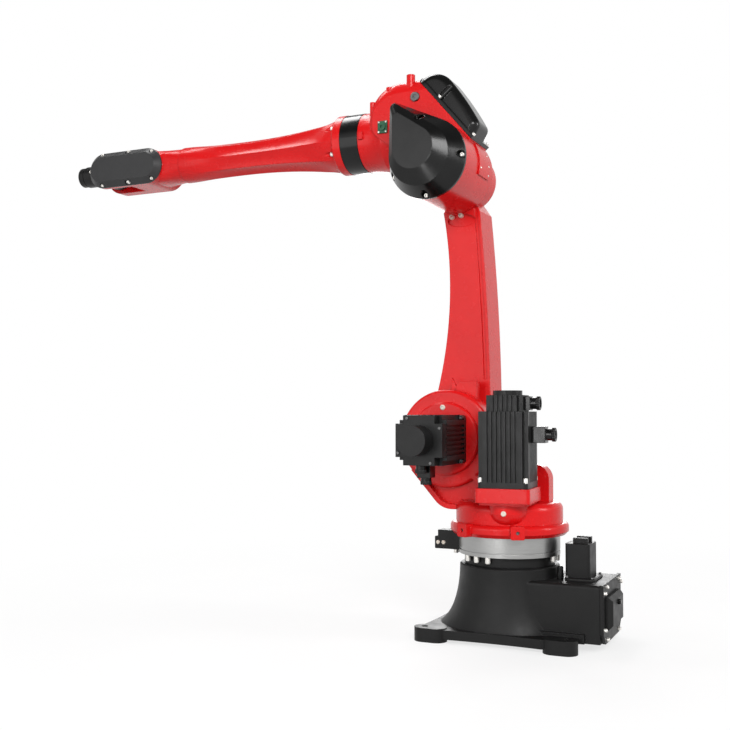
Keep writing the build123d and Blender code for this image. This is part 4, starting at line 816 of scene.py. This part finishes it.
cover_centre = (SHOULDER_X, OUTSIDE, ELBOW_Z)
cover_top = ring_of(cover_centre, COVER_RADIUS, COVER_TOP_ANGLES, SIDE_PLANE)
cover_places = ring_of(cover_centre, COVER_RADIUS, COVER_ANGLES, SIDE_PLANE)
slope_along = np.array([math.cos(SLOPE), 0.0, math.sin(SLOPE)])
slope_out = np.array([-math.sin(SLOPE), 0.0, math.cos(SLOPE)])
lip_places = [
    SLOPE_FOOT + along * slope_along + LIP_START * slope_out + np.array([0.0, y, 0.0])
    for along, y in LIP_CORNERS
]
socket_low, socket_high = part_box("elbow_socket")
socket_middle = (socket_low + socket_high) / (2 * MM)
socket_places = [
    (socket_middle.x + across, NEAR_SIDE, socket_middle.z + upward)
    for across in CONNECTOR_ACROSS
    for upward in CONNECTOR_UPWARD
]
bracket_places = [(BRACKET_START_X, y, z) for y, z in BRACKET_CORNERS]
screw_piece(
    "elbow_screws",
    [
        (seats_on("elbow_motor_cover", cover_places, RIGHT), LEFT, COVER_SCREW),
        (seats_on("elbow_motor_cover", cover_top, RIGHT), LEFT, COVER_TOP_SCREW),
        (seats_on("elbow_rear_cover", lip_places, tuple(-slope_out)), tuple(slope_out), LIP_SCREW),
        (seats_on("elbow_socket", socket_places, RIGHT), LEFT, CONNECTOR_SCREW),
        (seats_on("bracket_plate", bracket_places, FORWARD), BACKWARD, BRACKET_SCREW),
    ],
    plated_steel,
    "elbow",
)
fitting_low, fitting_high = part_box("air_fitting")
fitting_x = (fitting_low.x + fitting_high.x) / 2
fitting_z = (fitting_low.z + fitting_high.z) / 2
fitting_seat = np.array([[fitting_x, fitting_high.y - FITTING_DEPTH * MM, fitting_z]])
screw_piece(
    "fitting_insert", [(fitting_seat, LEFT, FITTING_INSERT)], dark_steel, "elbow"
)

# Forearm: collar pockets, the oval cover's scallops and the far side of the fork
COLLAR_BOLT = SOCKET_HEAD, 6.0, 9.0
COLLAR_BOLT_RADIUS = 74.0
COLLAR_START_X = 620.0
COLLAR_ANGLES = np.arange(30.0, 360.0, 60.0)
OVAL_SCREW = SOCKET_HEAD, 4.6, 8.0
# Each oval cover screw: its x, and its height over the forearm's axis
OVAL_SCREWS = (
    (1334.0, 49.0),
    (1334.0, -49.0),
    (1226.0, 49.0),
    (1226.0, -49.0),
    (1141.0, 43.3),
    (1141.0, -43.3),
    (1383.0, 0.0),
)
FORK_BOLT = SOCKET_HEAD, 3.8, 5.0
FORK_BOLT_RADIUS = 31.0
FORK_ANGLES = np.arange(0.0, 360.0, 45.0)

collar_places = ring_of(
    (COLLAR_START_X, 0.0, FOREARM_Z), COLLAR_BOLT_RADIUS, COLLAR_ANGLES, CROSS_PLANE
)
oval_places = [(x, NEAR_SIDE, FOREARM_Z + rise) for x, rise in OVAL_SCREWS]
fork_ring = ring_of((WRIST_X, -OUTSIDE, FOREARM_Z), FORK_BOLT_RADIUS, FORK_ANGLES, SIDE_PLANE)
screw_piece(
    "forearm_screws",
    [
        (seats_on("forearm_tube", collar_places, BACKWARD), FORWARD, COLLAR_BOLT),
        (seats_on("wrist_cover", oval_places, RIGHT), LEFT, OVAL_SCREW),
        (seats_on("forearm_tube", fork_ring, LEFT), RIGHT, FORK_BOLT),
    ],
    plated_steel,
    "forearm",
)

# Floor
FLOOR_RADIUS = 4.0
FLOOR_MIDDLE_RADIUS = 0.02
FLOOR_RINGS = 24
FLOOR_SECTORS = 96
FLOOR_FADE = (0.5, 2.2)
FLOOR_GLOW_SHARE = (0.72, 1.0)
FLOOR_GRAIN_SCALE = 3.0
FLOOR_DARK = 0.90
FLOOR_LIGHT = 0.93
FLOOR_RETURNED = 0.50


def floor_disc():
    """A flat disc: ring radii, from the rim inwards, times the cosine and sine of the sectors."""
    radius = np.linspace(FLOOR_RADIUS, FLOOR_MIDDLE_RADIUS, FLOOR_RINGS)[:, None]
    angle = np.linspace(0.0, 2 * np.pi, FLOOR_SECTORS, endpoint=False)[None, :]
    level = 0.0 * radius * angle
    return np.stack([radius * np.cos(angle), radius * np.sin(angle), level], axis=-1)


def floor_finish():
    """White floor where seen, shaded by what stands on it, and greyer for the light it returns."""
    material = bpy.data.materials.new("pale_floor")
    material.use_nodes = True
    tree = material.node_tree
    tree.nodes.clear()
    place = tree.nodes.new("ShaderNodeTexCoord")
    length = tree.nodes.new("ShaderNodeVectorMath")
    length.operation = "LENGTH"
    fade = map_range(tree, length.outputs["Value"], FLOOR_FADE, FLOOR_GLOW_SHARE)
    shaded = tree.nodes.new("ShaderNodeBsdfDiffuse")
    glow = tree.nodes.new("ShaderNodeEmission")
    glow.inputs["Color"].default_value = WHITE
    shown = tree.nodes.new("ShaderNodeMixShader")
    returned = tree.nodes.new("ShaderNodeBsdfDiffuse")
    returned.inputs["Color"].default_value = (*grey(FLOOR_RETURNED), 1.0)
    mix = tree.nodes.new("ShaderNodeMixShader")
    out = tree.nodes.new("ShaderNodeOutputMaterial")
    tones = two_tones(tree, grain(tree, FLOOR_GRAIN_SCALE), grey(FLOOR_DARK), grey(FLOOR_LIGHT))
    link_nodes(
        tree,
        (place.outputs["Object"], length.inputs[0]),
        (tones, shaded.inputs["Color"]),
        (fade, shown.inputs[0]),
        (shaded.outputs[0], shown.inputs[1]),
        (glow.outputs[0], shown.inputs[2]),
        (where_seen(tree), mix.inputs[0]),
        (returned.outputs[0], mix.inputs[1]),
        (shown.outputs[0], mix.inputs[2]),
        (mix.outputs[0], out.inputs[0]),
    )
    return material


floor_middle = list(range((FLOOR_RINGS - 1) * FLOOR_SECTORS, FLOOR_RINGS * FLOOR_SECTORS))
floor = mesh_piece(
    "studio_floor",
    floor_disc(),
    sheet_faces(FLOOR_RINGS, FLOOR_SECTORS).tolist() + [floor_middle],
    floor_finish(),
)

bpy.context.scene.view_settings.view_transform = "Standard"
